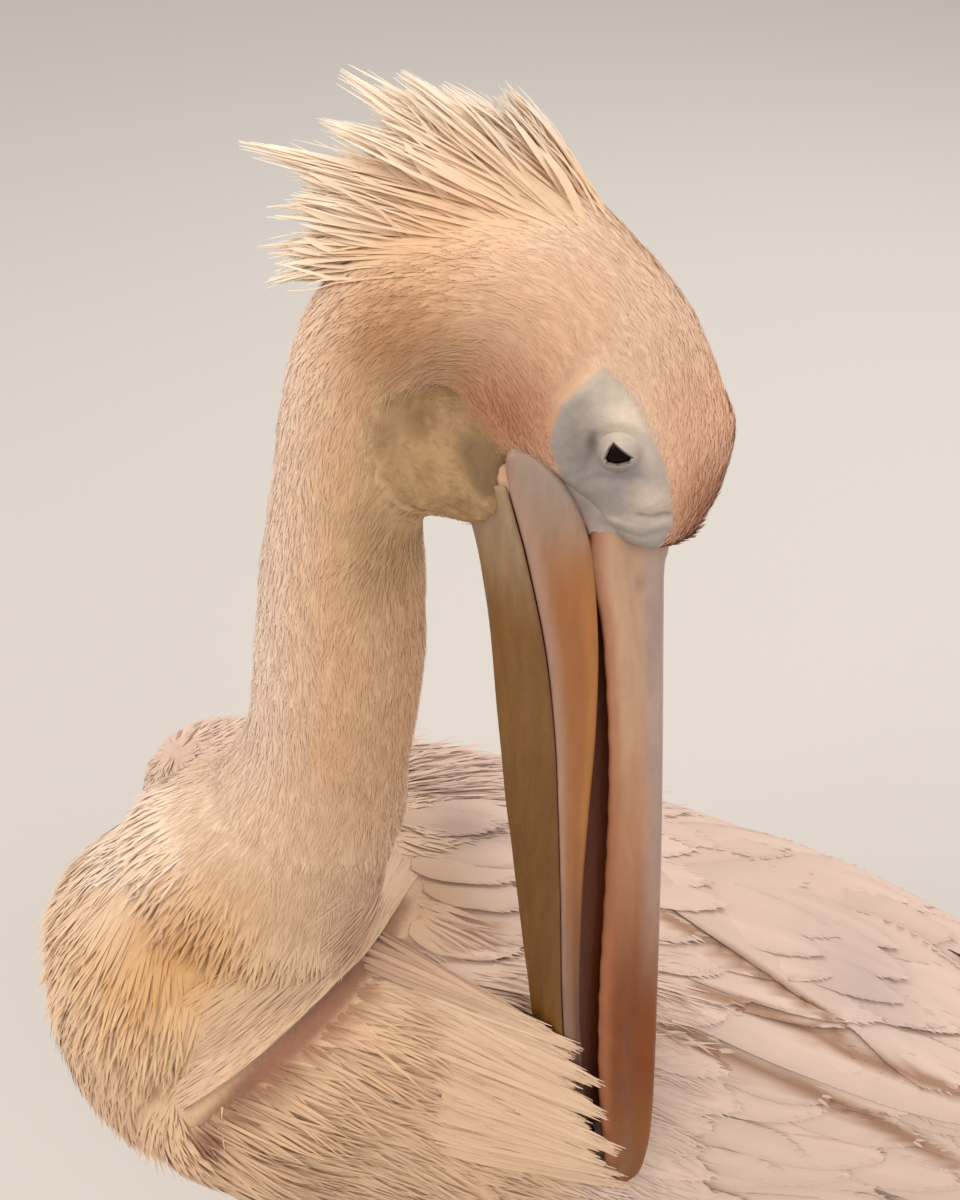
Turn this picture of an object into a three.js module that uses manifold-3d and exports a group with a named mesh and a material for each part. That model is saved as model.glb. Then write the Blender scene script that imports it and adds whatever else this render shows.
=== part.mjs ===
// Great white pelican, adult, standing on both webbed feet and preening its left side.
// Millimetres, +Z up, floor at Z = 0. The trunk faces -Y and its left side is +X. The neck rises
// from the breast, turns half a turn about itself, arches over towards the tail and lets the head
// hang bill down in front of the left wing.
import * as THREE from "three";
import Module from "manifold-3d";

const wasm = await Module();
wasm.setup();

// ---------------------------------------------------------------- driving dimensions
const GAP = 0.3; // parting gap between neighbouring pieces
const SHIFT = [-1.5, -150.75, 0]; // moves the bird so that its bounding box is centred on the origin
const BILL_BASE = [42, 65.5, 744.8]; // middle of the bill where it leaves the forehead
const BILL_DIR = [0.2567, 0.0562, -0.9649]; // from the bill base to the bill tip
const CROWN_DIR = [0.1196, 0.9888, 0.0894]; // from the throat to the crown, square to the bill
const RIGHT_DIR = [0.9591, -0.1384, 0.2471]; // to the bird's own right side of the head
const CULMEN = 384; // length of the upper bill
const EYE_RADIUS = 8.2;
const EYE_AT = [-50.5, -2, 30]; // along the bill, towards the crown, to the side
const TRUNK_TILT = 24; // degrees the back falls towards the tail
const FOOT_X = 68; // half the distance between the ankles
const ANKLE = [FOOT_X, 92, 17];
const WEB_THICK = 4;
const TOE_R = 6.2; // half the width of a toe

// ---------------------------------------------------------------- vector and mesh helpers
const V = (a) => new THREE.Vector3(a[0], a[1], a[2]);
const add = (...vs) => vs.reduce((s, v) => [s[0] + v[0], s[1] + v[1], s[2] + v[2]], [0, 0, 0]);
const mul = (v, k) => [v[0] * k, v[1] * k, v[2] * k];
const sub = (a, b) => [a[0] - b[0], a[1] - b[1], a[2] - b[2]];
const norm = (v) => mul(v, 1 / Math.hypot(...v));
const cross = (a, b) => [a[1] * b[2] - a[2] * b[1], a[2] * b[0] - a[0] * b[2], a[0] * b[1] - a[1] * b[0]];
const dot = (a, b) => a[0] * b[0] + a[1] * b[1] + a[2] * b[2];
const mix = (a, b, t) => a + (b - a) * t;

// a point given along the bill (u), towards the crown (w) and to the head's right side (s)
const headPoint = (u, w, s) => add(BILL_BASE, mul(BILL_DIR, u), mul(CROWN_DIR, w), mul(RIGHT_DIR, s));

// closes a stack of rings (each the same number of points) into one solid
function skinRings(rings) {
  const n = rings[0].length, m = rings.length;
  const pos = rings.flat();
  const mean = (r) => mul(r.reduce((s, p) => add(s, p), [0, 0, 0]), 1 / n);
  pos.push(mean(rings[0]), mean(rings[m - 1]));
  const idx = [];
  for (let i = 0; i < m - 1; i++)
    for (let j = 0; j < n; j++) {
      const a = i * n + j, b = i * n + ((j + 1) % n), c = a + n, d = b + n;
      idx.push([a, b, d], [a, d, c]);
    }
  for (let j = 0; j < n; j++) {
    idx.push([m * n, (j + 1) % n, j]);
    idx.push([m * n + 1, (m - 1) * n + j, (m - 1) * n + ((j + 1) % n)]);
  }
  const build = (faces) =>
    new wasm.Manifold(
      new wasm.Mesh({ numProp: 3, vertProperties: new Float32Array(pos.flat()), triVerts: new Uint32Array(faces.flat()) }),
    );
  const made = build(idx);
  return made.volume() < 0 ? build(idx.map(([a, b, c]) => [a, c, b])) : made;
}

// ring of an ellipse with its own radius on the +b and -b sides and a squareness exponent
function ellipseRing(c, a, b, ra, rb, rbLow, n, power = 2) {
  const out = [];
  for (let j = 0; j < n; j++) {
    const t = (2 * Math.PI * j) / n, x = Math.cos(t), y = Math.sin(t), q = 2 / power;
    const ex = Math.sign(x) * Math.abs(x) ** q, ey = Math.sign(y) * Math.abs(y) ** q;
    out.push(add(c, mul(a, ra * ex), mul(b, (y > 0 ? rb : rbLow) * ey)));
  }
  return out;
}

// stations [x, y, z, ra, rb, rbLow] along a fixed pair of section axes
function loftFixed(stations, a, b, n, grow = 0, power = 2) {
  return skinRings(
    stations.map(([x, y, z, ra, rb, rl]) =>
      ellipseRing([x, y, z], a, b, ra + grow, rb + grow, (rl ?? rb) + grow, n, power)),
  );
}

// smooth centreline through stations [x, y, z, rSide, rFore], sections square to the path;
// "side" is the direction the first radius is measured along
function sweepRings(stations, perSpan, n, side, grow = 0) {
  const curve = new THREE.CatmullRomCurve3(stations.map(V), false, "centripetal");
  const rings = [], spans = stations.length - 1;
  for (let i = 0; i <= spans * perSpan; i++) {
    const t = i / (spans * perSpan), k = Math.min(Math.floor(t * spans), spans - 1), f = t * spans - k;
    const e = f * f * (3 - 2 * f);
    const p = curve.getPoint(t).toArray(), d = curve.getTangent(t).toArray();
    const a = norm(sub(side, mul(d, dot(side, d)))), b = cross(d, a);
    const s0 = stations[k], s1 = stations[k + 1];
    rings.push(ellipseRing(p, a, b, mix(s0[3], s1[3], e) + grow, mix(s0[4] ?? s0[3], s1[4] ?? s1[3], e) + grow,
      mix(s0[4] ?? s0[3], s1[4] ?? s1[3], e) + grow, n));
  }
  return rings;
}
const sweep = (stations, perSpan, n, side, grow = 0) => skinRings(sweepRings(stations, perSpan, n, side, grow));

function solidOf(geometry) {
  const g = geometry.index ? geometry : geometry;
  const p = g.getAttribute("position"), map = new Map(), verts = [], tri = [];
  const index = g.index ? [...g.index.array] : [...Array(p.count).keys()];
  for (const i of index) {
    const key = [p.getX(i), p.getY(i), p.getZ(i)].map((v) => Math.round(v * 1e4)).join();
    if (!map.has(key)) { map.set(key, verts.length / 3); verts.push(p.getX(i), p.getY(i), p.getZ(i)); }
    tri.push(map.get(key));
  }
  return new wasm.Manifold(new wasm.Mesh({ numProp: 3, vertProperties: new Float32Array(verts), triVerts: new Uint32Array(tri) }));
}
const boxSolid = (x0, x1, y0, y1, z0, z1) =>
  solidOf(new THREE.BoxGeometry(x1 - x0, y1 - y0, z1 - z0).translate((x0 + x1) / 2, (y0 + y1) / 2, (z0 + z1) / 2));
const sphereSolid = (c, r, n) => solidOf(new THREE.SphereGeometry(r, n, Math.round(n * 0.6)).translate(...c));
const mirrorX = (stations) => stations.map(([x, ...rest]) => [-x, ...rest]);
const biggest = (m) => m.decompose().sort((p, q) => q.volume() - p.volume())[0];

// ---------------------------------------------------------------- trunk
const T = (TRUNK_TILT * Math.PI) / 180;
const SIDE = [1, 0, 0], TRUNK_UP = [0, Math.sin(T), Math.cos(T)];
const TRUNK = [ // x, y, z, half width, height above, depth below
  [17, -224, 392, 22, 22, 22],
  [17, -214, 395, 60, 52, 44],
  [15, -193, 401, 91, 76, 74],
  [11, -160, 406, 110, 92, 108],
  [4, -114, 404, 120, 106, 134],
  [0, -46, 384, 124, 116, 148],
  [0, 40, 354, 125, 118, 148],
  [0, 130, 326, 117, 110, 136],
  [0, 210, 301, 102, 96, 112],
  [0, 290, 272, 77, 72, 78],
  [0, 362, 246, 46, 40, 38],
  [0, 402, 232, 26, 14, 14],
];
const trunkBody = (grow) => loftFixed(TRUNK, SIDE, TRUNK_UP, 20, grow, 2.15);

// ---------------------------------------------------------------- neck
const NECK_BASE = [
  [16, -116, 300, 40, 40],
  [26, -138, 340, 76, 78],
  [36, -156, 392, 89, 92],
  [39, -150, 454, 86, 92],
  [33, -120, 512, 68, 74],
];
const NECK = [
  [33, -120, 512, 68, 74],
  [26, -92, 558, 51, 53],
  [22, -77, 608, 44, 44],
  [21, -69, 660, 43.5, 43.5],
  [21, -65, 704, 41, 41],
  [21, -61.5, 738, 38, 37.5],
  [20, -58, 770, 35.5, 34.5],
  [19, -53, 800, 34.5, 33.5],
  [18, -42, 829, 35, 34],
  [18, -20, 848, 36, 35],
];
const NECK_END = [
  [18, -20, 848, 36, 35],
  [15, 4, 852, 39, 37],
  [13, 26, 841, 41, 36],
  [14, 41, 824, 33, 26],
];
const neckRings = (grow) => sweepRings([...NECK_BASE.slice(0, 4), ...NECK, ...NECK_END.slice(1)], 2, 16, SIDE, grow);
// the same path in three lengths: rings k0..k1, pulled apart by the parting gap
function neckPiece(k0, k1, pull0, pull1, grow = 0) {
  const rings = neckRings(grow).slice(k0, k1 + 1);
  const shiftEnd = (r, next, by) => {
    const c = (q) => mul(q.reduce((s, p) => add(s, p), [0, 0, 0]), 1 / q.length);
    const d = norm(sub(c(next), c(r)));
    return r.map((p) => add(p, mul(d, by)));
  };
  const out = rings.slice();
  if (pull0) out[0] = shiftEnd(rings[0], rings[1], GAP / 2);
  if (pull1) out[out.length - 1] = shiftEnd(rings[out.length - 1], rings[out.length - 2], GAP / 2);
  return skinRings(out);
}

// ---------------------------------------------------------------- head
const HEAD = [ // along the bill, middle towards the crown, half depth, half width
  [-160, -42, 10, 10],
  [-155, -43, 24, 21],
  [-144, -42, 36, 30],
  [-130, -40, 47, 36.5],
  [-114, -35, 55, 40.5],
  [-97, -30, 61, 42.5],
  [-80, -25, 63, 41.5],
  [-64, -18, 61.5, 38.5],
  [-52, -12, 59.5, 35.5],
  [-42, -8, 55, 33],
  [-35, -1, 46, 31],
  [-24, 7, 35, 28],
  [-12, 10, 26, 24.5],
  [-3, 12, 18, 20.5],
  [1, 14, 9, 13],
];
const headBody = (grow) =>
  skinRings(HEAD.map(([u, w, rw, rs], i) =>
    ellipseRing(headPoint(u + (i === 0 ? -grow : i === HEAD.length - 1 ? grow : 0), w, 0), RIGHT_DIR, CROWN_DIR,
      rs + grow, rw + grow, rw + grow, 20)));

// upper bill: a raised ridge over two flat flanges, ending in a hooked nail
const UPPER = [ // along the bill, ridge, cutting edge, half width
  [-34, 14, -12, 17],
  [0, 18, -17, 21.5],
  [14, 16, -15, 21.5],
  [40, 15.5, -11, 20.5],
  [104, 15, -9.5, 19],
  [170, 14, -12.5, 18],
  [242, 12, -17, 18.5],
  [305, 10, -18.5, 19.5],
  [340, 8, -17.5, 17.5],
  [362, 5, -17, 13],
  [376, 1, -18, 8],
  [CULMEN, -5, -20, 3.5],
];
const UPPER_SECTION = [ // half outline: across, and share of the way from cutting edge to ridge
  [0, 1], [0.3, 0.95], [0.44, 0.66], [0.8, 0.4], [1, 0.16], [0.93, 0], [0, 0.1],
];
const upperBill = (grow) =>
  skinRings(UPPER.map(([u, top, low, half]) => {
    const one = UPPER_SECTION.map(([x, y]) => [x, y]);
    const loop = [...one, ...one.slice(1, -1).reverse().map(([x, y]) => [-x, y])];
    return loop.map(([x, y]) => {
      const w = mix(low - grow, top + grow, y);
      return headPoint(u, w, x * (half + grow));
    });
  }));

// lower bill: two rami joined at the tip
const RAMUS = [ // along the bill, towards the crown, to the side, half depth, half thickness
  [-46, -42, 26, 7, 4],
  [-34, -37, 26, 12, 4.6],
  [-17, -31.5, 25.5, 14, 4.6],
  [2, -28, 24.5, 14, 4.4],
  [44, -24.5, 22, 11.8, 4],
  [90, -24.5, 19.5, 9.4, 3.6],
  [130, -26.5, 18, 7.4, 3.4],
  [180, -29, 17.5, 5.4, 3.2],
  [242, -31, 17.5, 4.6, 3.2],
  [302, -30.5, 15.5, 4.6, 3.2],
  [338, -28, 10, 4.4, 3.4],
  [352, -27, 4, 4.2, 3.4],
  [357, -27, -1.5, 3.6, 3],
];
const ramus = (sign, grow) =>
  skinRings(RAMUS.map(([u, w, s, rw, rs], i) =>
    ellipseRing(headPoint(u, w, sign * s), mul(RIGHT_DIR, sign), CROWN_DIR, rs + grow, rw + grow, rw + grow, 8, 2.6)));
const lowerBill = (grow) => ramus(1, grow).add(ramus(-1, grow));

// pouch of bare skin slung between the rami
const POUCH_KEEL = [ // along the bill, lower edge, half width at the lower edge, mouth lining above the rami
  [-34, -72, 18, 8],
  [-17, -70, 16, 13],
  [2, -67, 12, 15],
  [44, -63.5, 8.5, 18],
  [90, -62.5, 7, 19],
  [130, -61, 6.5, 20],
  [180, -58.5, 6, 19],
  [242, -55, 5.5, 15],
  [302, -50, 4.5, 13],
  [338, -41, 3, 9],
];
const pouchBody = (grow) =>
  skinRings(POUCH_KEEL.map(([u, low, b, lift], i) => {
    const [, w, s, rw, rs] = RAMUS[i + 1], inner = s - rs - GAP, under = w - rw - GAP, outer = s + rs * 0.7;
    const half = [[inner * 0.4, w + lift], [inner * 0.75, w + lift * 0.7], [inner, w], [inner, under], [outer, under - 0.4],
      [mix(outer, b, 0.5), mix(under, low, 0.5)], [b, mix(under, low, 0.86)], [b * 0.45, low]];
    const loop = [...half, ...half.slice().reverse().map(([x, y]) => [-x, y])];
    return loop.map(([x, y]) => headPoint(u, y < under - 0.6 ? y - grow : y > w ? y + grow : y, x + Math.sign(x) * grow));
  }));

// web of pouch skin from the foot of the lower bill back to the foreneck
const THROAT = [ // x, y, z, half width, up, down
  [21, -52, 772, 22, 40, 52],
  [23, -36, 772, 27, 42, 34],
  [26, -20, 772, 28, 38, 23],
  [30, -6, 770, 27, 30, 21],
  [34, 6, 768, 25, 22, 22],
  [37, 14, 764, 22, 14, 16],
];
const throatBody = (grow) => loftFixed(THROAT, RIGHT_DIR, [0, 0, 1], 16, grow, 2.1);

// ---------------------------------------------------------------- crest of long nape plumes
const CREST_ROOTS = [ // root on the nape, tip, half thickness at the root
  [[5, -54, 860], [-17, -101, 900], 10],
  [[13, -60, 853], [-2, -87, 878], 8],
  [[6, -64, 847], [-8, -92, 856], 7],
  [[13, -66, 840], [0, -91, 846], 5.5],
  [[17, -52, 864], [4, -76, 886], 10],
  [[4, -42, 870], [-24, -67, 906], 12],
  [[16, -37, 873], [2, -58, 914], 12],
  [[6, -27, 877], [-16, -55, 930], 14],
  [[16, -18, 879], [-6, -32, 932], 13],
  [[6, -10, 882], [-20, -16, 922], 12],
  [[16, -4, 883], [2, -10, 926], 12],
  [[12, 8, 884], [-4, 9, 928], 11],
];
function plume([root, tip, r], grow) {
  const d = sub(tip, root), up = [0, 0.15, 1];
  const bow = mul(norm(sub(up, mul(d, dot(up, d) / dot(d, d)))), Math.hypot(...d) * 0.06);
  const start = root;
  const at = (t) => add(start, mul(sub(tip, start), t), mul(bow, 4 * t * (1 - t)));
  return sweep([[...at(0), r * 1.1, r * 0.8], [...at(0.5), r * 0.72, r * 0.42], [...at(0.78), r * 0.24, r * 0.16], [...at(1), 0.5, 0.4]], 1, 4, [1, 0.2, 0.1], grow);
}
const CREST_PAD = [
  [8, -74, 828, 8, 5],
  [9, -65, 843, 17, 9],
  [10, -48, 863, 23, 10],
  [11, -22, 876, 24, 11],
  [12, 4, 882, 20, 10],
  [12, 18, 884, 7, 5],
];

const crestPad = (grow) => sweep(CREST_PAD, 1, 8, [1, 0.1, 0], grow);
const crestPlumes = () => CREST_ROOTS.map((c) => plume(c, 0)).reduce((s, p) => s.add(p));

// ---------------------------------------------------------------- wings and tail
const WING_LEAN = 0.3; // how much the wing's upper edge leans in over the back
const wingUp = (sign) => norm([-sign * WING_LEAN, Math.sin(T * 0.95), Math.cos(T * 0.95)]);
const wingOut = (sign) => norm(sub(SIDE, mul(wingUp(sign), wingUp(sign)[0])));
const WING = [ // x, y, z, half thickness, height above, depth below
  [112, -222, 438, 6, 10, 12],
  [113, -215, 439, 20, 28, 32],
  [111, -196, 438, 33, 44, 58],
  [104, -163, 427, 42, 66, 75],
  [94, -112, 409, 49, 88, 88],
  [85, -36, 386, 55, 106, 98],
  [82, 50, 357, 56, 110, 100],
  [77, 140, 330, 52, 104, 95],
  [68, 230, 304, 46, 90, 80],
  [58, 318, 273, 38, 69, 60],
  [47, 396, 247, 27, 47, 41],
  [39, 456, 228, 18, 31, 27],
  [33, 506, 214, 10, 17, 16],
  [30, 532, 207, 4, 7, 7],
];
const LEFT_WING_BACK = 46; // how far the bend of the left wing is drawn back while it is being preened
const leftWing = WING.map(([x, y, z, a, b, c]) => [x + (y < 200 ? 3 : 0), y + LEFT_WING_BACK * Math.max(0, (150 - y) / 376), z - 6, a, b, c]);
const wingBody = (sign, grow) => loftFixed(sign > 0 ? leftWing : mirrorX(WING), wingOut(sign), wingUp(sign), 16, grow, 2.1);
const TAIL_UP = [0, 0.35, 0.937];
const TAIL = [
  [0, 360, 224, 36, 13, 13],
  [0, 400, 209, 47, 9, 9],
  [0, 460, 186, 58, 6, 6],
  [0, 510, 166, 60, 4.5, 4.5],
  [0, 535, 157, 50, 3.2, 3.2],
  [0, 547, 153, 30, 2.2, 2.2],
];
const tailBody = () => loftFixed(TAIL, SIDE, TAIL_UP, 12, 0, 2.3);

// ---------------------------------------------------------------- legs and feet
const THIGH = [
  [50, 68, 268, 50, 66],
  [54, 84, 226, 41, 50],
  [60, 104, 190, 27, 31],
  [63, 118, 166, 15, 17],
];
const SHANK = [
  [63, 118, 166, 11.5, 12.5],
  [64, 122.5, 154, 13, 14],
  [64.5, 120, 142, 10.4, 11.5],
  [66, 108, 90, 8.2, 9.5],
  [67.3, 98, 44, 8.4, 10],
  [FOOT_X, 92, 21, 11, 12.5],
];
const TOES = [ // degrees outward from straight ahead, length, node suffix
  [-72, 52, "1"], [-24, 100, "2"], [5, 126, "3"], [32, 116, "4"],
];
const toeTip = (sign, [deg, len], k = 1) => {
  const a = (deg * Math.PI) / 180;
  return [sign * (ANKLE[0] + Math.sin(a) * len * k), ANKLE[1] - Math.cos(a) * len * k];
};
const floorCut = boxSolid(-400, 400, -400, 700, -60, 0);
function toe(sign, t, grow = 0) {
  const [x1, y1] = toeTip(sign, t), x0 = sign * ANKLE[0], y0 = ANKLE[1];
  const at = (k, z) => [mix(x0, x1, k), mix(y0, y1, k), z];
  return sweep([[...at(-0.05, 9), 9, 9], [...at(0.14, 7), TOE_R + 1.4, 8], [...at(0.8, 4.6), TOE_R - 0.5, 5.6],
    [...at(1, 3.6), 3.6, 3.8]], 1, 6, [1, 0, 0.001], grow);
}
function claw(sign, t, grow = 0) {
  const at = (len, z) => { const k = (t[1] + len) / t[1]; const p = toeTip(sign, t, k); return [p[0], p[1], z]; };
  return sweep([[...at(-5, 5.2), 2.6, 3], [...at(2, 4.9), 2.3, 2.7], [...at(8, 3.6), 1.5, 1.8], [...at(12, 1.6), 0.6, 0.7]], 1, 4, [1, 0, 0.001], grow);
}
function web(sign) {
  const pts = [];
  const push = (p) => pts.push(new THREE.Vector2(p[0], p[1]));
  push([sign * (ANKLE[0] + 4), ANKLE[1] + 6]);
  push([sign * (ANKLE[0] - 6), ANKLE[1] + 5]);
  TOES.forEach((t, i) => {
    push(toeTip(sign, t, 0.97));
    if (i < TOES.length - 1) {
      const n = TOES[i + 1], deg = (t[0] + n[0]) / 2, len = Math.min(t[1], n[1]) * 0.5 + Math.max(t[1], n[1]) * 0.34;
      push(toeTip(sign, [mix(t[0], n[0], 0.28), mix(t[1], n[1], 0.28) * 0.87]));
      push(toeTip(sign, [deg, len]));
      push(toeTip(sign, [mix(t[0], n[0], 0.72), mix(t[1], n[1], 0.72) * 0.87]));
    }
  });
  if (sign < 0) pts.reverse();
  return solidOf(new THREE.ExtrudeGeometry(new THREE.Shape(pts), { depth: WEB_THICK, bevelEnabled: false }));
}

// ---------------------------------------------------------------- assembling the solids
const nodes = {};
const LAST = neckRings(0).length - 1;
// ring numbers: two per span; the neck base has 4 spans, the neck proper 9, the head end 3
const K = { base: 8, low: 12, mid: 18, up: 24 };

const eyeAt = (sign) => headPoint(EYE_AT[0], EYE_AT[1], sign * EYE_AT[2]);
const wingL = wingBody(1, 0), wingR = wingBody(-1, 0);

const neckFoot = neckPiece(0, K.base, false, true);
const headStub = neckPiece(K.up, LAST, true, false);
const crestFat = crestPad(GAP);
const headFat = headBody(GAP);
const neckUpper = biggest(neckPiece(K.mid, K.up, true, true).subtract(crestFat).subtract(headFat));
const neckFat = neckPiece(K.base, LAST, false, false, GAP);
const upper = upperBill(0), upperFat = upperBill(GAP);
const lower = lowerBill(0), lowerFat = lowerBill(GAP);

nodes.neck_middle = neckPiece(K.low, K.mid, true, true);
nodes.neck_upper = neckUpper;
nodes.head = biggest(headBody(0).add(headStub).subtract(upperFat).subtract(lowerFat)
  .subtract(sphereSolid(eyeAt(1), EYE_RADIUS + GAP, 10)).subtract(sphereSolid(eyeAt(-1), EYE_RADIUS + GAP, 10)).subtract(crestFat));
nodes.eye_right = sphereSolid(eyeAt(1), EYE_RADIUS, 10);
nodes.eye_left = sphereSolid(eyeAt(-1), EYE_RADIUS, 10);
nodes.bill_upper = upper;
nodes.bill_lower = biggest(lower.subtract(upperFat));
nodes.throat_pouch = biggest(throatBody(0).subtract(neckFat).subtract(headFat).subtract(lowerFat));
nodes.gular_pouch = biggest(pouchBody(0).subtract(throatBody(GAP)).subtract(headFat).subtract(upperFat).subtract(neckFat));
nodes.crest = biggest(crestPlumes().subtract(headFat).subtract(neckPiece(K.mid, LAST, false, false, GAP)).add(crestPad(0)));

const neckFootFat = neckPiece(0, K.base, false, false, GAP);
nodes.trunk = biggest(trunkBody(0).add(neckFoot).subtract(upperFat.add(lowerFat).add(pouchBody(GAP))));
const trunkFat = trunkBody(GAP).add(neckFootFat);
nodes.neck_lower = biggest(neckPiece(K.base, K.low, true, true).subtract(trunkBody(GAP)));
const billFat = upperFat.add(lowerFat).add(pouchBody(1.5));
nodes.wing_left = biggest(wingL.subtract(trunkFat).subtract(neckFat).subtract(billFat));
nodes.wing_right = biggest(wingR.subtract(trunkFat).subtract(neckFat));
const wingsFat = wingBody(1, GAP).add(wingBody(-1, GAP));
nodes.tail = biggest(tailBody().subtract(trunkFat).subtract(wingsFat));

for (const [side, sign] of [["left", 1], ["right", -1]]) {
  const st = (s) => (sign > 0 ? s : mirrorX(s));
  nodes["thigh_" + side] = biggest(sweep(st(THIGH), 1, 12, SIDE).subtract(trunkFat).subtract(wingsFat));
  nodes["shank_" + side] = biggest(sweep(st(SHANK), 1, 8, SIDE).subtract(sweep(st(THIGH), 1, 12, SIDE, GAP)));
  let foot = web(sign);
  for (const t of TOES) foot = foot.add(toe(sign, t));
  foot = foot.add(sphereSolid([sign * ANKLE[0], ANKLE[1], 10], 12.5, 8));
  foot = foot.subtract(floorCut).subtract(sweep(st(SHANK), 1, 8, SIDE, GAP));
  for (const t of TOES) {
    foot = foot.subtract(claw(sign, t, GAP));
    nodes["claw_" + side + "_" + t[2]] = claw(sign, t).subtract(floorCut);
  }
  nodes["foot_" + side] = biggest(foot);
}

// ---------------------------------------------------------------- meshes
const LOOK = {
  head: ["#e8c3a2", 0.9], crest: ["#f0ddc4", 0.9], eye: ["#140a08", 0.15], bill_upper: ["#b88d7a", 0.5],
  bill_lower: ["#b99a7e", 0.5], gular_pouch: ["#8d6b36", 0.6], throat_pouch: ["#a0824f", 0.7], neck: ["#e6bf9a", 0.9],
  trunk: ["#e9d6c8", 0.9], wing: ["#ecdcd2", 0.85], tail: ["#ecdfd6", 0.85], thigh: ["#e9d6c8", 0.9],
  shank: ["#d9a084", 0.6], foot: ["#d99a78", 0.6], claw: ["#4a3a34", 0.4],
};
const group = new THREE.Group();
group.name = "pelican";
for (const [name, solid] of Object.entries(nodes)) {
  const mesh = solid.getMesh();
  const g = new THREE.BufferGeometry();
  const n = mesh.numProp, count = mesh.vertProperties.length / n, pos = new Float32Array(count * 3);
  for (let i = 0; i < count; i++) for (let k = 0; k < 3; k++) pos[3 * i + k] = mesh.vertProperties[n * i + k] + SHIFT[k];
  g.setAttribute("position", new THREE.BufferAttribute(pos, 3));
  g.setIndex([...mesh.triVerts]);
  g.computeVertexNormals();
  const key = Object.keys(LOOK).find((k) => name.startsWith(k));
  const m = new THREE.Mesh(g, new THREE.MeshStandardMaterial({ color: LOOK[key][0], roughness: LOOK[key][1], metalness: 0 }));
  m.name = name;
  group.add(m);
}
export default group;
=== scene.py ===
"""Looks of the standing, preening great white pelican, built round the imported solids.

Lengths in the tables are millimetres in the bird's own frame: left side +X, tail +Y, up +Z.
"""

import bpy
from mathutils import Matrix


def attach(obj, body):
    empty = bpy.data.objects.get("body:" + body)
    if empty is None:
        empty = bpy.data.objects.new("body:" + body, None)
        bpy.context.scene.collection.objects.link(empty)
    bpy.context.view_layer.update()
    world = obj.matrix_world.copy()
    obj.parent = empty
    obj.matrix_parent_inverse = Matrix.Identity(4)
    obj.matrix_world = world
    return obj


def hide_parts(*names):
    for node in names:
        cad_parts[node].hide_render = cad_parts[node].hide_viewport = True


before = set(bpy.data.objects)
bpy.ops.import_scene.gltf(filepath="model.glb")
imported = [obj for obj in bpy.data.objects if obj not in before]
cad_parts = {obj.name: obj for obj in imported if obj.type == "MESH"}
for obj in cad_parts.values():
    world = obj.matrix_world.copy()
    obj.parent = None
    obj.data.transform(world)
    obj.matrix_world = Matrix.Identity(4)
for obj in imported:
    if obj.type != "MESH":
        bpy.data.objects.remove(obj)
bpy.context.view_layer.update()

import math
import bmesh
import bpy
import numpy as np
from mathutils import Vector
from mathutils.bvhtree import BVHTree
from mathutils.kdtree import KDTree

rng = np.random.default_rng(20)
SHIFT = np.array([-1.5, -150.75, 0.0])
A = np.array


# ------------------------------------------------------------------ small maths
def norm(v):
    v = np.asarray(v, float)
    return v / np.maximum(np.linalg.norm(v, axis=-1, keepdims=True), 1e-9)


def dot(a, b):
    return np.sum(np.asarray(a) * np.asarray(b), axis=-1)


def smooth(a, b, x):
    t = np.clip((np.asarray(x, float) - a) / (b - a), 0, 1)
    return t * t * (3 - 2 * t)


def gauss(d2, s):
    return np.exp(-d2 / (2 * s * s))


def lin(rgb):
    c = np.asarray(rgb, float) / 255
    return np.where(c <= 0.04045, c / 12.92, ((c + 0.055) / 1.055) ** 2.4)


def densify(st, k):
    """Catmull-Rom through the rows of st, k steps a span."""
    st = np.asarray(st, float)
    n = len(st)
    q = np.vstack([2 * st[0] - st[1], st, 2 * st[-1] - st[-2]])
    t = np.arange((n - 1) * k + 1) / k
    i = np.minimum(t.astype(int), n - 2)
    f = (t - i)[:, None]
    a, b, c, d = q[i], q[i + 1], q[i + 2], q[i + 3]
    return 0.5 * (2 * b + (c - a) * f + (2 * a - 5 * b + 4 * c - d) * f ** 2 + (3 * b - a - 3 * c + d) * f ** 3)


def poly_sdf(p, poly):
    """Signed distance from points (N,2) to a closed polygon, negative inside."""
    p = np.asarray(p, float)
    poly = np.asarray(poly, float)
    d = np.full(len(p), 1e9)
    inside = np.zeros(len(p), bool)
    for a, b in zip(poly, np.roll(poly, -1, axis=0)):
        e = b - a
        t = np.clip(((p - a) @ e) / (e @ e), 0, 1)
        d = np.minimum(d, np.linalg.norm(p - a - t[:, None] * e, axis=1))
        cross = (a[1] > p[:, 1]) != (b[1] > p[:, 1])
        with np.errstate(divide="ignore", invalid="ignore"):
            x = (b[0] - a[0]) * (p[:, 1] - a[1]) / (b[1] - a[1]) + a[0]
        inside ^= cross & (p[:, 0] < x)
    return np.where(inside, -d, d)


# ------------------------------------------------------------------ the bird's sizes
BILL_BASE = A([42, 65.5, 744.8])
BILL_DIR = A([0.2567, 0.0562, -0.9649])
CROWN_DIR = A([0.1196, 0.9888, 0.0894])
RIGHT_DIR = A([0.9591, -0.1384, 0.2471])
EYE_RADIUS = 8.2
EYE_AT = (-50.5, -2, 30)
TILT = math.radians(24)
SIDE = A([1.0, 0, 0])
TRUNK_UP = A([0, math.sin(TILT), math.cos(TILT)])
WING_LEAN = 0.3
LEFT_WING_BACK = 46


def head_point(u, w, s):
    u, w, s = (np.asarray(x, float)[..., None] for x in (u, w, s))
    return BILL_BASE + u * BILL_DIR + w * CROWN_DIR + s * RIGHT_DIR


def head_local(p):
    q = np.asarray(p) - BILL_BASE
    return q @ BILL_DIR, q @ CROWN_DIR, q @ RIGHT_DIR


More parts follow.
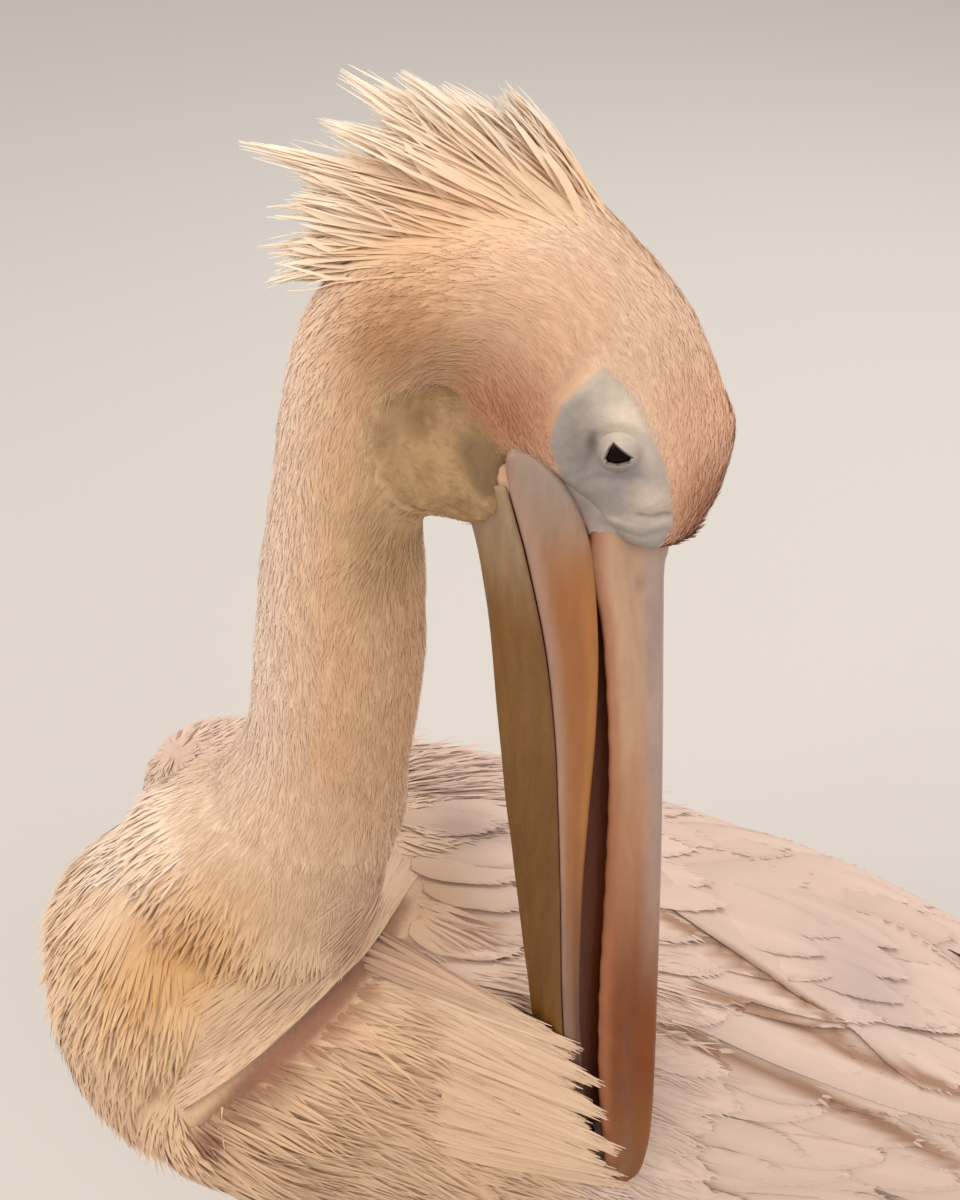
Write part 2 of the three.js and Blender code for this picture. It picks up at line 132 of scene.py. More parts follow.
TRUNK = A([  # x, y, z, half width, height above, depth below
    [17, -224, 392, 22, 22, 22], [17, -214, 395, 60, 52, 44], [15, -193, 401, 91, 76, 74], [11, -160, 406, 110, 92, 108],
    [4, -114, 404, 120, 106, 134], [0, -46, 384, 124, 116, 148], [0, 40, 354, 125, 118, 148], [0, 130, 326, 117, 110, 136],
    [0, 210, 301, 102, 96, 112], [0, 290, 272, 77, 72, 78], [0, 362, 246, 46, 40, 38], [0, 402, 232, 26, 14, 14]], float)
NECK_BASE = A([[16, -116, 300, 40, 40], [26, -138, 340, 76, 78], [36, -156, 392, 89, 92], [39, -150, 454, 86, 92]], float)
NECK = A([[33, -120, 512, 68, 74], [26, -92, 558, 51, 53], [22, -77, 608, 44, 44], [21, -69, 660, 43.5, 43.5],
          [21, -65, 704, 41, 41], [21, -61.5, 738, 38, 37.5], [20, -58, 770, 35.5, 34.5], [19, -53, 800, 34.5, 33.5],
          [18, -42, 829, 35, 34], [18, -20, 848, 36, 35]], float)
NECK_END = A([[15, 4, 852, 39, 37], [13, 26, 841, 41, 36], [14, 41, 824, 33, 26]], float)
HEAD = A([  # along the bill, towards the crown, half depth, half width
    [-160, -42, 10, 10], [-155, -43, 24, 21], [-144, -42, 36, 30], [-130, -40, 47, 36.5], [-114, -35, 55, 40.5],
    [-97, -30, 61, 42.5], [-80, -25, 63, 41.5], [-64, -18, 61.5, 38.5], [-52, -12, 59.5, 35.5], [-42, -8, 55, 33],
    [-35, -1, 46, 31], [-24, 7, 35, 28], [-12, 10, 26, 24.5], [-3, 12, 18, 20.5], [1, 14, 9, 13]], float)
THROAT = A([[21, -52, 772, 22, 40, 52], [23, -36, 772, 27, 42, 34], [26, -20, 772, 28, 38, 23], [30, -6, 770, 27, 30, 21],
            [34, 6, 768, 25, 22, 22], [37, 14, 764, 22, 14, 16]], float)
WING = A([  # x, y, z, half thickness, height above, depth below
    [112, -222, 438, 6, 10, 12], [113, -215, 439, 20, 28, 32], [111, -196, 438, 33, 44, 58], [104, -163, 427, 42, 66, 75],
    [94, -112, 409, 49, 88, 88], [85, -36, 386, 55, 106, 98], [82, 50, 357, 56, 110, 100], [77, 140, 330, 52, 104, 95],
    [68, 230, 304, 46, 90, 80], [58, 318, 273, 38, 69, 60], [47, 396, 247, 27, 47, 41], [39, 456, 228, 18, 31, 27],
    [33, 506, 214, 10, 17, 16], [30, 532, 207, 4, 7, 7]], float)
TAIL = A([[0, 360, 224, 36, 13, 13], [0, 400, 209, 47, 9, 9], [0, 460, 186, 58, 6, 6], [0, 510, 166, 60, 4.5, 4.5],
          [0, 535, 157, 50, 3.2, 3.2], [0, 547, 153, 30, 2.2, 2.2]], float)
THIGH = A([[50, 68, 268, 50, 66], [54, 84, 226, 41, 50], [60, 104, 190, 27, 31], [63, 118, 166, 15, 17]], float)
UPPER = A([  # along the bill, ridge, edge, half width
    [-34, 14, -12, 17], [0, 18, -17, 21.5], [14, 16, -15, 21.5], [40, 15.5, -11, 20.5], [104, 15, -9.5, 19],
    [170, 14, -12.5, 18], [242, 12, -17, 18.5], [305, 10, -18.5, 19.5], [340, 8, -17.5, 17.5], [362, 5, -17, 13],
    [376, 1, -18, 8], [384, -5, -20, 3.5]], float)
RAMUS = A([  # along the bill, towards the crown, to the side, half depth, half thickness
    [-46, -42, 26, 7, 4], [-34, -37, 26, 12, 4.6], [-17, -31.5, 25.5, 14, 4.6], [2, -28, 24.5, 14, 4.4],
    [44, -24.5, 22, 11.8, 4], [90, -24.5, 19.5, 9.4, 3.6], [130, -26.5, 18, 7.4, 3.4], [180, -29, 17.5, 5.4, 3.2],
    [242, -31, 17.5, 4.6, 3.2], [302, -30.5, 15.5, 4.6, 3.2], [338, -28, 10, 4.4, 3.4], [352, -27, 4, 4.2, 3.4],
    [357, -27, -1.5, 3.6, 3]], float)
POUCH_KEEL = A([  # along the bill, lower edge, half width at the lower edge, lining above the rami
    [-34, -72, 18, 8], [-17, -70, 16, 13], [2, -67, 12, 15], [44, -63.5, 8.5, 18], [90, -62.5, 7, 19],
    [130, -61, 6.5, 20], [180, -58.5, 6, 19], [242, -55, 5.5, 15], [302, -50, 4.5, 13], [338, -41, 3, 9]], float)
FACE = A([(-87, -7), (-72, -24), (-55, -30), (-41, -27), (-24, -20), (-10, -15), (4, -4), (2, 12), (-13, 20), (-33, 19),
          (-54, 13), (-75, 4)], float)  # bare skin of the face, along the bill and towards the crown


# ------------------------------------------------------------------ lofts
def ring(c, a, b, ra, rb, rl, n, power=2.0):
    t = 2 * np.pi * np.arange(n) / n
    x, y = np.cos(t), np.sin(t)
    ex = np.sign(x) * np.abs(x) ** (2 / power)
    ey = np.sign(y) * np.abs(y) ** (2 / power)
    return c + np.outer(ra * ex, a) + np.outer(np.where(y > 0, rb, rl) * ey, b)


def skin_rings(rings):
    """Closed triangle mesh over a list of rings with the same number of points."""
    n, m = len(rings[0]), len(rings)
    v = np.vstack(list(rings) + [rings[0].mean(0)[None], rings[-1].mean(0)[None]])
    i = np.arange(m - 1)[:, None] * n
    j = np.arange(n)[None]
    k = (j + 1) % n
    p, q, r, s = i + j, i + k, i + n + k, i + n + j
    f = [np.stack([p, q, r], -1).reshape(-1, 3), np.stack([p, r, s], -1).reshape(-1, 3)]
    j, k = np.arange(n), (np.arange(n) + 1) % n
    c0, c1 = m * n, m * n + 1
    f.append(np.stack([np.full(n, c0), k, j], 1))
    f.append(np.stack([np.full(n, c1), (m - 1) * n + j, (m - 1) * n + k], 1))
    f = np.vstack(f)
    a, b, c = v[f[:, 0]], v[f[:, 1]], v[f[:, 2]]
    if np.sum(dot(a, np.cross(b, c))) < 0:
        f = f[:, ::-1]
    return v, f


def wing_axes(sign):
    up = norm([-sign * WING_LEAN, math.sin(TILT * 0.95), math.cos(TILT * 0.95)])
    return norm(SIDE - up * up[0]), up


def wing_stations(sign):
    st = WING.copy()
    if sign > 0:
        st[:, 0] += np.where(st[:, 1] < 200, 3, 0)
        st[:, 1] += LEFT_WING_BACK * np.maximum(0, (150 - WING[:, 1]) / 376)
        st[:, 2] -= 6
    st[:, 0] *= sign
    return st


class Loft:
    """Sections with one pair of axes along stations x, y, z, half width, up, down."""

    def __init__(self, st, a, b, power, k=6):
        self.a, self.b, self.c, self.power = norm(a), norm(b), norm(np.cross(a, b)), power
        self.st = densify(st, k)
        self.st[:, 3:] = np.maximum(self.st[:, 3:], 1.5)
        s = self.st[:, :3] @ self.c
        if s[0] > s[-1]:
            self.c = -self.c
            s = -s
        self.s = s

    def mesh(self, n, shrink=0.0):
        out = []
        for r in self.st:
            g = np.minimum(shrink, 0.4 * r[3:6])
            out.append(ring(r[:3], self.a, self.b, r[3] - g[0], r[4] - g[1], r[5] - g[2], n, self.power))
        if shrink:
            d = norm(out[1].mean(0) - out[0].mean(0))
            out[0] = out[0] + d * shrink * 0.6
            out[-1] = out[-1] - d * shrink * 0.6
        return skin_rings(out)

    def param(self, p):
        """t along (0..1), angle, and about how far outside the surface (mm)."""
        s = p @ self.c
        i = np.interp(s, self.s, np.arange(len(self.s)))
        over = np.maximum(self.s[0] - s, 0) + np.maximum(s - self.s[-1], 0)
        st = np.stack([np.interp(i, np.arange(len(self.s)), self.st[:, k]) for k in range(6)], 1)
        q = p - st[:, :3]
        x, y = q @ self.a, q @ self.b
        ry = np.where(y > 0, st[:, 4], st[:, 5])
        f = (np.abs(x / st[:, 3]) ** self.power + np.abs(y / ry) ** self.power) ** (1 / self.power)
        return i / (len(self.s) - 1), np.arctan2(y / ry, x / st[:, 3]), (f - 1) * np.minimum(st[:, 3], ry) + over

    def along(self, t):
        i = np.clip(t * (len(self.s) - 1), 0.5, len(self.s) - 1.5)
        c = self.st[:, :3]
        j = i.astype(int)
        return norm(c[np.minimum(j + 1, len(c) - 1)] - c[j])

    def point(self, t, ang, out=0.0):
        i = np.clip(np.asarray(t, float), 0, 1) * (len(self.s) - 1)
        st = np.stack([np.interp(i, np.arange(len(self.s)), self.st[:, k]) for k in range(6)], -1)
        x, y = np.cos(ang), np.sin(ang)
        ex = np.sign(x) * np.abs(x) ** (2 / self.power)
        ey = np.sign(y) * np.abs(y) ** (2 / self.power)
        r = np.where(y > 0, st[..., 4], st[..., 5]) + out
        return st[..., :3] + ((st[..., 3] + out) * ex)[..., None] * self.a + (r * ey)[..., None] * self.b


def centripetal(pts, t):
    """three.js style centripetal Catmull-Rom through pts at t in 0..1."""
    pts = np.asarray(pts, float)
    n = len(pts)
    out = np.empty((len(t), 3))
    for m, tt in enumerate(t):
        p = (n - 1) * tt
        i = min(int(math.floor(p)), n - 2)
        w = p - i
        p0 = pts[i - 1] if i > 0 else 2 * pts[0] - pts[1]
        p1, p2 = pts[i], pts[i + 1]
        p3 = pts[i + 2] if i + 2 < n else 2 * pts[-1] - pts[-2]
        d0, d1, d2 = (max(np.sum((a - b) ** 2) ** 0.25, 1e-4) for a, b in ((p0, p1), (p1, p2), (p2, p3)))
        t1 = ((p1 - p0) / d0 - (p2 - p0) / (d0 + d1) + (p2 - p1) / d1) * d1
        t2 = ((p2 - p1) / d1 - (p3 - p1) / (d1 + d2) + (p3 - p2) / d2) * d1
        out[m] = p1 + t1 * w + (-3 * p1 + 3 * p2 - 2 * t1 - t2) * w ** 2 + (2 * p1 - 2 * p2 + t1 + t2) * w ** 3
    return out


class Neck:
    def __init__(self, st, per=6):
        st = np.asarray(st, float)
        n = (len(st) - 1) * per + 1
        t = np.linspace(0, 1, n)
        self.c = centripetal(st[:, :3], t)
        self.d = norm(centripetal(st[:, :3], np.clip(t + 1e-3, 0, 1)) - centripetal(st[:, :3], np.clip(t - 1e-3, 0, 1)))
        self.a = norm(SIDE - self.d * dot(self.d, SIDE)[:, None])
        self.b = np.cross(self.d, self.a)
        k = np.minimum((t * (len(st) - 1)).astype(int), len(st) - 2)
        f = t * (len(st) - 1) - k
        e = (f * f * (3 - 2 * f))[:, None]
        self.r = st[k, 3:5] * (1 - e) + st[k + 1, 3:5] * e
        self.n = n

    def mesh(self, sides, shrink=0.0, i0=0, i1=None):
        return skin_rings([ring(self.c[i], self.a[i], self.b[i], self.r[i, 0] - shrink, self.r[i, 1] - shrink,
                                self.r[i, 1] - shrink, sides) for i in range(i0, i1 or self.n)])

    def param(self, p):
        best = np.full(len(p), 1e9)
        idx = np.zeros(len(p), int)
        for i in range(self.n):
            q = p - self.c[i]
            d = dot(q, q)
            m = d < best
            best[m] = d[m]
            idx[m] = i
        q = p - self.c[idx]
        x, y = dot(q, self.a[idx]), dot(q, self.b[idx])
        z = dot(q, self.d[idx])
        f = np.sqrt((x / self.r[idx, 0]) ** 2 + (y / self.r[idx, 1]) ** 2)
        return idx / (self.n - 1), np.arctan2(y, x), (f - 1) * self.r[idx].min(1) + np.maximum(np.abs(z) - 12, 0)


trunk = Loft(TRUNK, SIDE, TRUNK_UP, 2.15)
wings = {}
for sign in (1, -1):
    a, b = wing_axes(sign)
    wings[sign] = Loft(wing_stations(sign), a, b, 2.1)
neck = Neck(np.vstack([NECK_BASE, NECK, NECK_END]))
hs = densify(HEAD, 5)
head = Loft(np.column_stack([head_point(hs[::5, 0], hs[::5, 1], 0), hs[::5, 3], hs[::5, 2], hs[::5, 2]]), RIGHT_DIR, CROWN_DIR, 2.0, 5)
throat = Loft(THROAT, RIGHT_DIR, A([0, 0, 1.0]), 2.1)
thighs = {s: Neck(THIGH * A([s, 1, 1, 1, 1])) for s in (1, -1)}
tail = Loft(TAIL, SIDE, A([0, 0.35, 0.937]), 2.3)


# ------------------------------------------------------------------ mesh objects and materials
def make(name, v_mm, faces, mat, col=None, uv=None, smooth_shade=True, shift=True):
    """Mesh object from millimetre points; faces are all triangles or all quads."""
    v = np.asarray(v_mm, float)
    v = (v + SHIFT) / 1000 if shift else v
    f = np.asarray(faces, np.int64)
    k = f.shape[1]
    me = bpy.data.meshes.new(name)
    me.vertices.add(len(v))
    me.vertices.foreach_set("co", v.astype(np.float32).ravel())
    me.loops.add(f.size)
    me.loops.foreach_set("vertex_index", f.astype(np.int32).ravel())
    me.polygons.add(len(f))
    me.polygons.foreach_set("loop_start", np.arange(0, f.size, k, dtype=np.int32))
    me.polygons.foreach_set("use_smooth", np.full(len(f), smooth_shade))
    if col is not None:
        at = me.color_attributes.new("tint", "FLOAT_COLOR", "POINT")
        at.data.foreach_set("color", np.column_stack([np.clip(col, 0, 1), np.ones(len(v))]).astype(np.float32).ravel())
    if uv is not None:
        layer = me.uv_layers.new(name="OFBake")
        layer.data.foreach_set("uv", np.asarray(uv, np.float32)[f.ravel()].ravel())
    me.update(calc_edges=True)
    me.validate()
    o = bpy.data.objects.new(name, me)
    bpy.context.scene.collection.objects.link(o)
    if mat is not None:
        me.materials.append(mat)
    return o


def material(name, rough=0.6, spec=0.4, color=None, tint=True, noise=(), bump=(), coat=0.0, sheen=0.0, sub=0.0, subcol=(0.9, 0.5, 0.35)):
    """Principled material. noise: (scale, stretch xyz, low factor, high factor) multiplied in; bump: (scale, stretch, strength, distance)."""
    m = bpy.data.materials.new(name)
    m.use_nodes = True
    t = m.node_tree
    n, l = t.nodes, t.links
    p = n["Principled BSDF"]
    p.inputs["Roughness"].default_value = rough
    p.inputs["Specular IOR Level"].default_value = spec
    if coat:
        p.inputs["Coat Weight"].default_value = coat
        p.inputs["Coat Roughness"].default_value = 0.12
    if sheen:
        p.inputs["Sheen Weight"].default_value = sheen
        p.inputs["Sheen Roughness"].default_value = 0.6
    if sub:
        p.inputs["Subsurface Weight"].default_value = sub
        p.inputs["Subsurface Radius"].default_value = subcol
        p.inputs["Subsurface Scale"].default_value = 0.004
    if tint:
        src = n.new("ShaderNodeVertexColor")
        src.layer_name = "tint"
        out = src.outputs["Color"]
    else:
        p.inputs["Base Color"].default_value = (*color, 1)
        out = None
    tex = n.new("ShaderNodeTexCoord")

    def field(scale, stretch, detail=3.0):
        mp = n.new("ShaderNodeMapping")
        mp.inputs["Scale"].default_value = stretch
        l.new(tex.outputs["Object"], mp.inputs["Vector"])
        nz = n.new("ShaderNodeTexNoise")
        nz.inputs["Scale"].default_value = scale
        nz.inputs["Detail"].default_value = detail
        l.new(mp.outputs["Vector"], nz.inputs["Vector"])
        return nz.outputs["Fac"]

    for scale, stretch, lo, hi in noise:
        ramp = n.new("ShaderNodeMapRange")
        ramp.inputs["From Min"].default_value = 0.3
        ramp.inputs["From Max"].default_value = 0.7
        ramp.inputs["To Min"].default_value = lo
        ramp.inputs["To Max"].default_value = hi
        l.new(field(scale, stretch), ramp.inputs["Value"])
        mix = n.new("ShaderNodeVectorMath")
        mix.operation = "SCALE"
        if out is None:
            rgb = n.new("ShaderNodeRGB")
            rgb.outputs[0].default_value = (*color, 1)
            out = rgb.outputs[0]
        l.new(out, mix.inputs[0])
        l.new(ramp.outputs["Result"], mix.inputs["Scale"])
        out = mix.outputs["Vector"]
    if out is not None:
        l.new(out, p.inputs["Base Color"])
    prev = None
    for scale, stretch, strength, dist in bump:
        b = n.new("ShaderNodeBump")
        b.inputs["Strength"].default_value = strength
        b.inputs["Distance"].default_value = dist
        l.new(field(scale, stretch, 4.0), b.inputs["Height"])
        if prev is not None:
            l.new(prev, b.inputs["Normal"])
        prev = b.outputs["Normal"]
    if prev is not None:
        l.new(prev, p.inputs["Normal"])
    return m


def keep(obj, slot, *nodes):
    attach(obj, "root")
    if nodes:
        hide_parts(*nodes)
    return obj


# ------------------------------------------------------------------ markings
WHITE = lin((219, 194, 180))
LINES = [A([(20, 109, 451), (33, 146, 434), (57, 202, 405), (73, 220, 392), (73, 283, 354)], float),
         A([(86, 100, 441), (92, 152, 411), (95, 222, 365), (95, 291, 308)], float), A([(61, 124, 439), (68, 188, 411), (74, 220, 390)], float)]

SLOPE = norm(A([0.48, 0.18, 0.86]))   # square to the side of the back
CREASE = A([(43, -46, 492), (64, -57, 485), (87, -71, 480), (107, -87, 476), (122, -103, 469), (134, -119, 457), (141, -131, 445), (147, -145, 430)], float)


def line_distance(p, line):
    best = np.full(len(p), 1e9)
    for a, b in zip(line[:-1], line[1:]):
        e = b - a
        t = np.clip(((p - a) @ e) / (e @ e), 0, 1)
        best = np.minimum(best, np.linalg.norm(p - a - t[:, None] * e, axis=1))
    return best



def plumage_colour(p):
    """Colour of the feathers at points p (mm), linear RGB."""
    x, y, z = p.T
    col = np.tile(WHITE, (len(p), 1))

    def paint(rgb, wgt):
        nonlocal col
        wgt = np.clip(wgt, 0, 1)[:, None]
        col = col * (1 - wgt) + lin(rgb) * wgt

    t, ang, dist = neck.param(p)
    on_neck = smooth(26, 6, dist) * smooth(0.26, 0.42, t)
    base_zone = smooth(60, 10, dist) * smooth(0.02, 0.2, t)
    paint((232, 204, 172), 0.75 * base_zone)                       # cream stain at the foot of the neck
    paint((228, 188, 150), on_neck)                                 # peach neck
    # painted light: the lit outer side of the neck paler
    paint((234, 206, 182), on_neck * smooth(0.0, -1.0, np.cos(ang - 0.6)) * 0.6)
    # yellow patch where the neck spreads into the breast
    paint((208, 154, 84), 0.72 * gauss((x - 92) ** 2 + (y + 155) ** 2 * 0.8 + (z - 522) ** 2, 36))
    paint((186, 130, 58), 0.7 * gauss((x - 87) ** 2 + (y + 154) ** 2 + (z - 538) ** 2, 22))
    u, w, s = head_local(p)
    hd = head.param(p)[2]
    on_head = smooth(16, 3, hd) * smooth(0.80, 0.9, np.maximum(t, 0.9 * (u > -100)))
    paint((240, 212, 186), on_head)                                 # crown
    paint((234, 190, 160), on_head * smooth(-110, -50, u) * smooth(0, 26, w))      # forehead
    # painted shade on the cheek
    paint((186, 124, 92), on_head * gauss((u + 64) ** 2 + (w + 50) ** 2, 27))   # cheek
    # more painted shade low on the cheek's near side
    paint((184, 128, 96), 0.5 * gauss((x - 51) ** 2 + (y - 8) ** 2 + (z - 818) ** 2, 20))
    paint((246, 226, 206), 0.6 * on_head * gauss((x - 20) ** 2 + (y - 31) ** 2 + (z - 891) ** 2, 20))
    # warm lower forehead by the bill, darkened further with painted shade
    paint((180, 118, 86), 0.85 * on_head * smooth(-50, -12, u) * smooth(6, 34, w))
    # warm base of the crest, deepened with painted shade under the plumes
    paint((226, 176, 128), 0.7 * on_head * gauss((x - 24) ** 2 * 0.5 + (y + 12) ** 2 + (z - 888) ** 2, 20))   # warm where the crest springs
    paint((228, 186, 150), on_head * gauss((u + 105) ** 2 + (w + 20) ** 2, 26) * 0.6)
    c = neck.c[np.clip((t * (neck.n - 1)).astype(int), 0, neck.n - 1)]
    # painted light: the front of the neck, its lit side, paler below the head
    paint((238, 220, 208), 0.85 * on_neck * (1 - on_head) * smooth(0.97, 0.88, t) * smooth(4, -44, y - c[:, 1]))
    # painted shade under the arch of the neck
    paint((204, 160, 120), 0.8 * on_neck * gauss((x - 48) ** 2 * 0.3 + (y + 27) ** 2 + (z - 850) ** 2, 20))
    paint((172, 142, 94), 0.62 * smooth(30, 8, dist) * gauss((x - 46) ** 2 * 0.25 + (y + 38) ** 2 * 1.5 + (z - 752) ** 2 * 0.3, 15))
    # whiter breast on the right; warm silky flanks darkened with painted shade, mostly on the near side; a painted
    # shadow band in the crease where the neck rests on the shoulder
    paint((238, 218, 200), 0.85 * gauss((x - 42) ** 2 + (y + 172) ** 2 + (z - 556) ** 2, 30) * smooth(36, 56, z - 470))
    paint((214, 176, 140), 0.8 * np.where(x > 0, 1, 0.15) * smooth(75, 105, np.abs(x)) * smooth(70, 30, y) * smooth(500, 470, z) * smooth(300, 340, z))
    # painted shadow along the crease, near side only
    crease = line_distance(p * np.where(x < 0, -1, 1)[:, None] ** A([1, 0, 0]), CREASE)
    paint((142, 94, 74), np.where(x > 0, 0.92, 0.0) * smooth(12, 4, crease))
    # more painted shade where the neck's arch meets the head
    paint((166, 118, 78), 0.55 * gauss((x - 52) ** 2 + (y + 31) ** 2 + (z - 852) ** 2, 15))
    # painted shadow of the neck on the back behind it
    paint((168, 142, 132), 0.6 * gauss((x + 13) ** 2 + (y + 12) ** 2 + (z - 490) ** 2, 14))
    # painted shade: the back darker towards the tail
    paint((182, 162, 156), 0.7 * gauss((x - 22) ** 2 + (y - 232) ** 2 + (z - 394) ** 2, 30))
    # painted shade on the near side of the back at the neck's foot
    paint((196, 154, 118), 0.6 * gauss((x - 44) ** 2 + (y + 24) ** 2 + (z - 489) ** 2, 20) * (x > 0))
    # painted shade along the gap lines under the raised edges of the long scapulars, on both sides
    side = p * A([1, 1, 1]) * np.where(x < 0, -1, 1)[:, None] ** A([1, 0, 0])
    flat = side - (side @ SLOPE)[:, None] * SLOPE
    gap = np.minimum.reduce([line_distance(flat, q - (q @ SLOPE)[:, None] * SLOPE) for q in LINES])
    paint((150, 108, 80), 0.85 * smooth(6.5, 1.5, gap) * smooth(78, 104, y) * smooth(318, 280, y) * smooth(260, 300, z) * (x * SLOPE[0] > -5))
    return col


CHEEK = A([(49, -24, 846), (54, -9, 812), (53, 6, 784)], float)


THROAT_SKIN = A([(-78, -97), (-84, -87), (-85, -76), (-76, -62), (-56, -44), (-36, -34), (-14, -34), (-6, -46), (-9, -60), (-12, -74), (-17, -84),
                 (-22, -93), (-34, -101), (-50, -105), (-66, -103)], float)   # along the bill, towards the crown


def near_side(p):
    """Points of the far side of the head mirrored to the near side."""
    s = head_local(p)[2]
    return p + np.maximum(-2 * s, 0)[:, None] * RIGHT_DIR


def throat_edge(p):
    """Distance in from the edge of the naked throat (mm), negative outside it."""
    u, w, s = head_local(p)
    d = -poly_sdf(np.column_stack([u, w]), THROAT_SKIN) + 1.1 * np.sin(u * 0.55 + w * 0.2) * np.sin(w * 0.43 + 1)
    return np.where(throat.param(p)[2] < 22, np.minimum(d, (head.param(p)[2] + DEPTH["head"] * 0.75) * 2.2), -20.0)


def bare_throat(p):
    """1 on the naked skin of the throat, 0 under the feathers of the head and neck."""
    return smooth(-1.0, 1.0, throat_edge(p))


SKIN_TONE = lin((196, 170, 150))


def skin_colour(p):
    """Colour of the skin under the coat and of the bare face and throat."""
    col = plumage_colour(p) * 0.97
    u, w, s = head_local(p)
    sd = poly_sdf(np.column_stack([u, w]), FACE)
    near = (np.abs(s) > 8) & (head.param(p)[2] < 14)
    face = smooth(1.5, -1.5, sd) * near

    def paint(rgb, wgt):
        nonlocal col
        wgt = np.clip(wgt, 0, 1)[:, None]
        col = col * (1 - wgt) + lin(rgb) * wgt

    paint((168, 158, 152), face)
    eu, ew = u - EYE_AT[0], w - EYE_AT[1]
    paint((198, 184, 168), face * 0.8 * smooth(-22, -30, eu))                                   # point of the patch
    # painted highlight on the puffy hood over the eye
    paint((232, 216, 196), face * gauss((eu + 15) ** 2 + (ew - 5) ** 2 * 0.7, 9))               # hood over the eye
    # painted shade in the hollow before the eye
    paint((140, 130, 126), face * 0.8 * gauss((eu + 2) ** 2 * 0.25 + (ew + 15) ** 2, 7))
    # painted shade in the crease before the eye
    paint((98, 88, 88), face * 0.75 * gauss((eu + 3.5 + 0.5 * (ew + 10)) ** 2 * 0.12 + (ew + 10.2) ** 2, 1.5))   # crease before the eye
    paint((128, 126, 134), face * 0.8 * gauss((eu - 10.5) ** 2 + (ew - 2) ** 2 * 0.6, 4.0))        # blue shadow under the eye
    # painted shade below the eye
    paint((150, 140, 138), face * 0.6 * gauss((eu - 18) ** 2 * 0.5 + (ew + 2) ** 2 * 0.5, 8))
    # painted highlight on the swelling by the bill
    paint((212, 194, 176), face * 0.85 * gauss((eu - 22.5) ** 2 + (ew - 14.5) ** 2 * 0.7, 6))       # swelling by the bill
    # painted highlight on the hood towards the crown
    paint((206, 190, 180), face * 0.8 * gauss((eu - 3) ** 2 * 0.5 + (ew - 15.5) ** 2, 4.5))
    # painted shade in the crease by the bill
    paint((112, 98, 92), face * 0.7 * gauss((eu - 29.6 - 0.5 * np.sin(ew * 0.6)) ** 2, 0.7) * smooth(5, 9, ew))
    paint((222, 206, 196), face * 0.5 * gauss((eu - 33) ** 2, 2.0))
    # bare throat
    bare = smooth(-1.5, 4.0, throat_edge(p))
    paint((174, 140, 102), bare)
    tx = np.sin(p[:, 0] * 0.21 + 2) * np.sin(p[:, 2] * 0.17) * np.sin(p[:, 1] * 0.19)
    paint((140, 106, 66), bare * smooth(0.0, 0.6, tx) * 0.6)
    tx = np.sin(p[:, 0] * 1.1 + np.sin(p[:, 2] * 0.9) * 2 + np.sin(p[:, 1] * 1.3)) * np.sin(p[:, 2] * 1.2 + np.sin(p[:, 1] * 0.7) * 2)
    paint((190, 160, 120), bare * smooth(0.35, 0.9, tx) * 0.45)
    paint((128, 94, 56), bare * smooth(-0.4, -0.9, tx) * 0.4)
    cheek_gap = line_distance(near_side(p), CHEEK)
    paint((116, 94, 64), bare * smooth(13, 7, cheek_gap) * 0.8)
    return col


# ------------------------------------------------------------------ one skin for the feathered body, head and throat
DEPTH = {"trunk": 3.6, "wing": 4.6, "neck": 2.2, "head": 1.6, "thigh": 2.6}


def laplace(v, quads, steps, lam=0.5, mask=None):
    e = np.vstack([quads[:, [0, 1]], quads[:, [1, 2]], quads[:, [2, 3]], quads[:, [3, 0]]])
    e = np.vstack([e, e[:, ::-1]])
    n = len(v)
    cnt = np.maximum(np.bincount(e[:, 0], minlength=n), 1)
    m = lam if mask is None else (lam * mask)[:, None]
    for _ in range(steps):
        avg = np.stack([np.bincount(e[:, 0], v[e[:, 1], k], n) for k in range(3)], 1) / cnt[:, None]
        v = v + (avg - v) * m
    return v


def mesh_arrays(me):
    v = np.empty(len(me.vertices) * 3, np.float32)
    me.vertices.foreach_get("co", v)
    n = np.empty(len(me.vertices) * 3, np.float32)
    me.vertex_normals.foreach_get("vector", n)
    me.calc_loop_triangles()
    t = np.empty(len(me.loop_triangles) * 3, np.int32)
    me.loop_triangles.foreach_get("vertices", t)
    return v.reshape(-1, 3).astype(float), n.reshape(-1, 3).astype(float), t.reshape(-1, 3)


def remesh(name, soups, voxel_mm):
    """Voxel union of closed meshes; returns vertices (mm) and quads."""
    vs, fs, o = [], [], 0
    for v, f in soups:
        vs.append(v); fs.append(f + o); o += len(v)
    ob = make(name, np.vstack(vs), np.vstack(fs), None, shift=False)
    md = ob.modifiers.new("r", "REMESH")
    md.mode = "VOXEL"
    md.voxel_size = voxel_mm
    dg = bpy.context.evaluated_depsgraph_get()
    me = ob.evaluated_get(dg).to_mesh()
    v = np.empty(len(me.vertices) * 3, np.float32)
    me.vertices.foreach_get("co", v)
    q = np.empty(len(me.loops), np.int32)
    me.loops.foreach_get("vertex_index", q)
    ob.evaluated_get(dg).to_mesh_clear()
    old = ob.data
    bpy.data.objects.remove(ob)
    bpy.data.meshes.remove(old)
    return v.reshape(-1, 3).astype(float), q.reshape(-1, 4)


def refine(v, faces, inside, cuts=1):
    """Splits the faces whose corners all pass inside(points). Faces stay lists of any size."""
    bm = bmesh.new()
    for p in v:
        bm.verts.new(p)
    bm.verts.ensure_lookup_table()
    for f in faces:
        bm.faces.new([bm.verts[i] for i in f])
    ok = inside(v)
    bm.verts.index_update()
    edges = [e for e in bm.edges if ok[e.verts[0].index] and ok[e.verts[1].index]]
    bmesh.ops.subdivide_edges(bm, edges=edges, cuts=cuts, use_grid_fill=True)
    bm.verts.index_update()
    v2 = A([p.co[:] for p in bm.verts])
    f2 = [[q.index for q in f.verts] for f in bm.faces]
    bm.free()
    return v2, f2


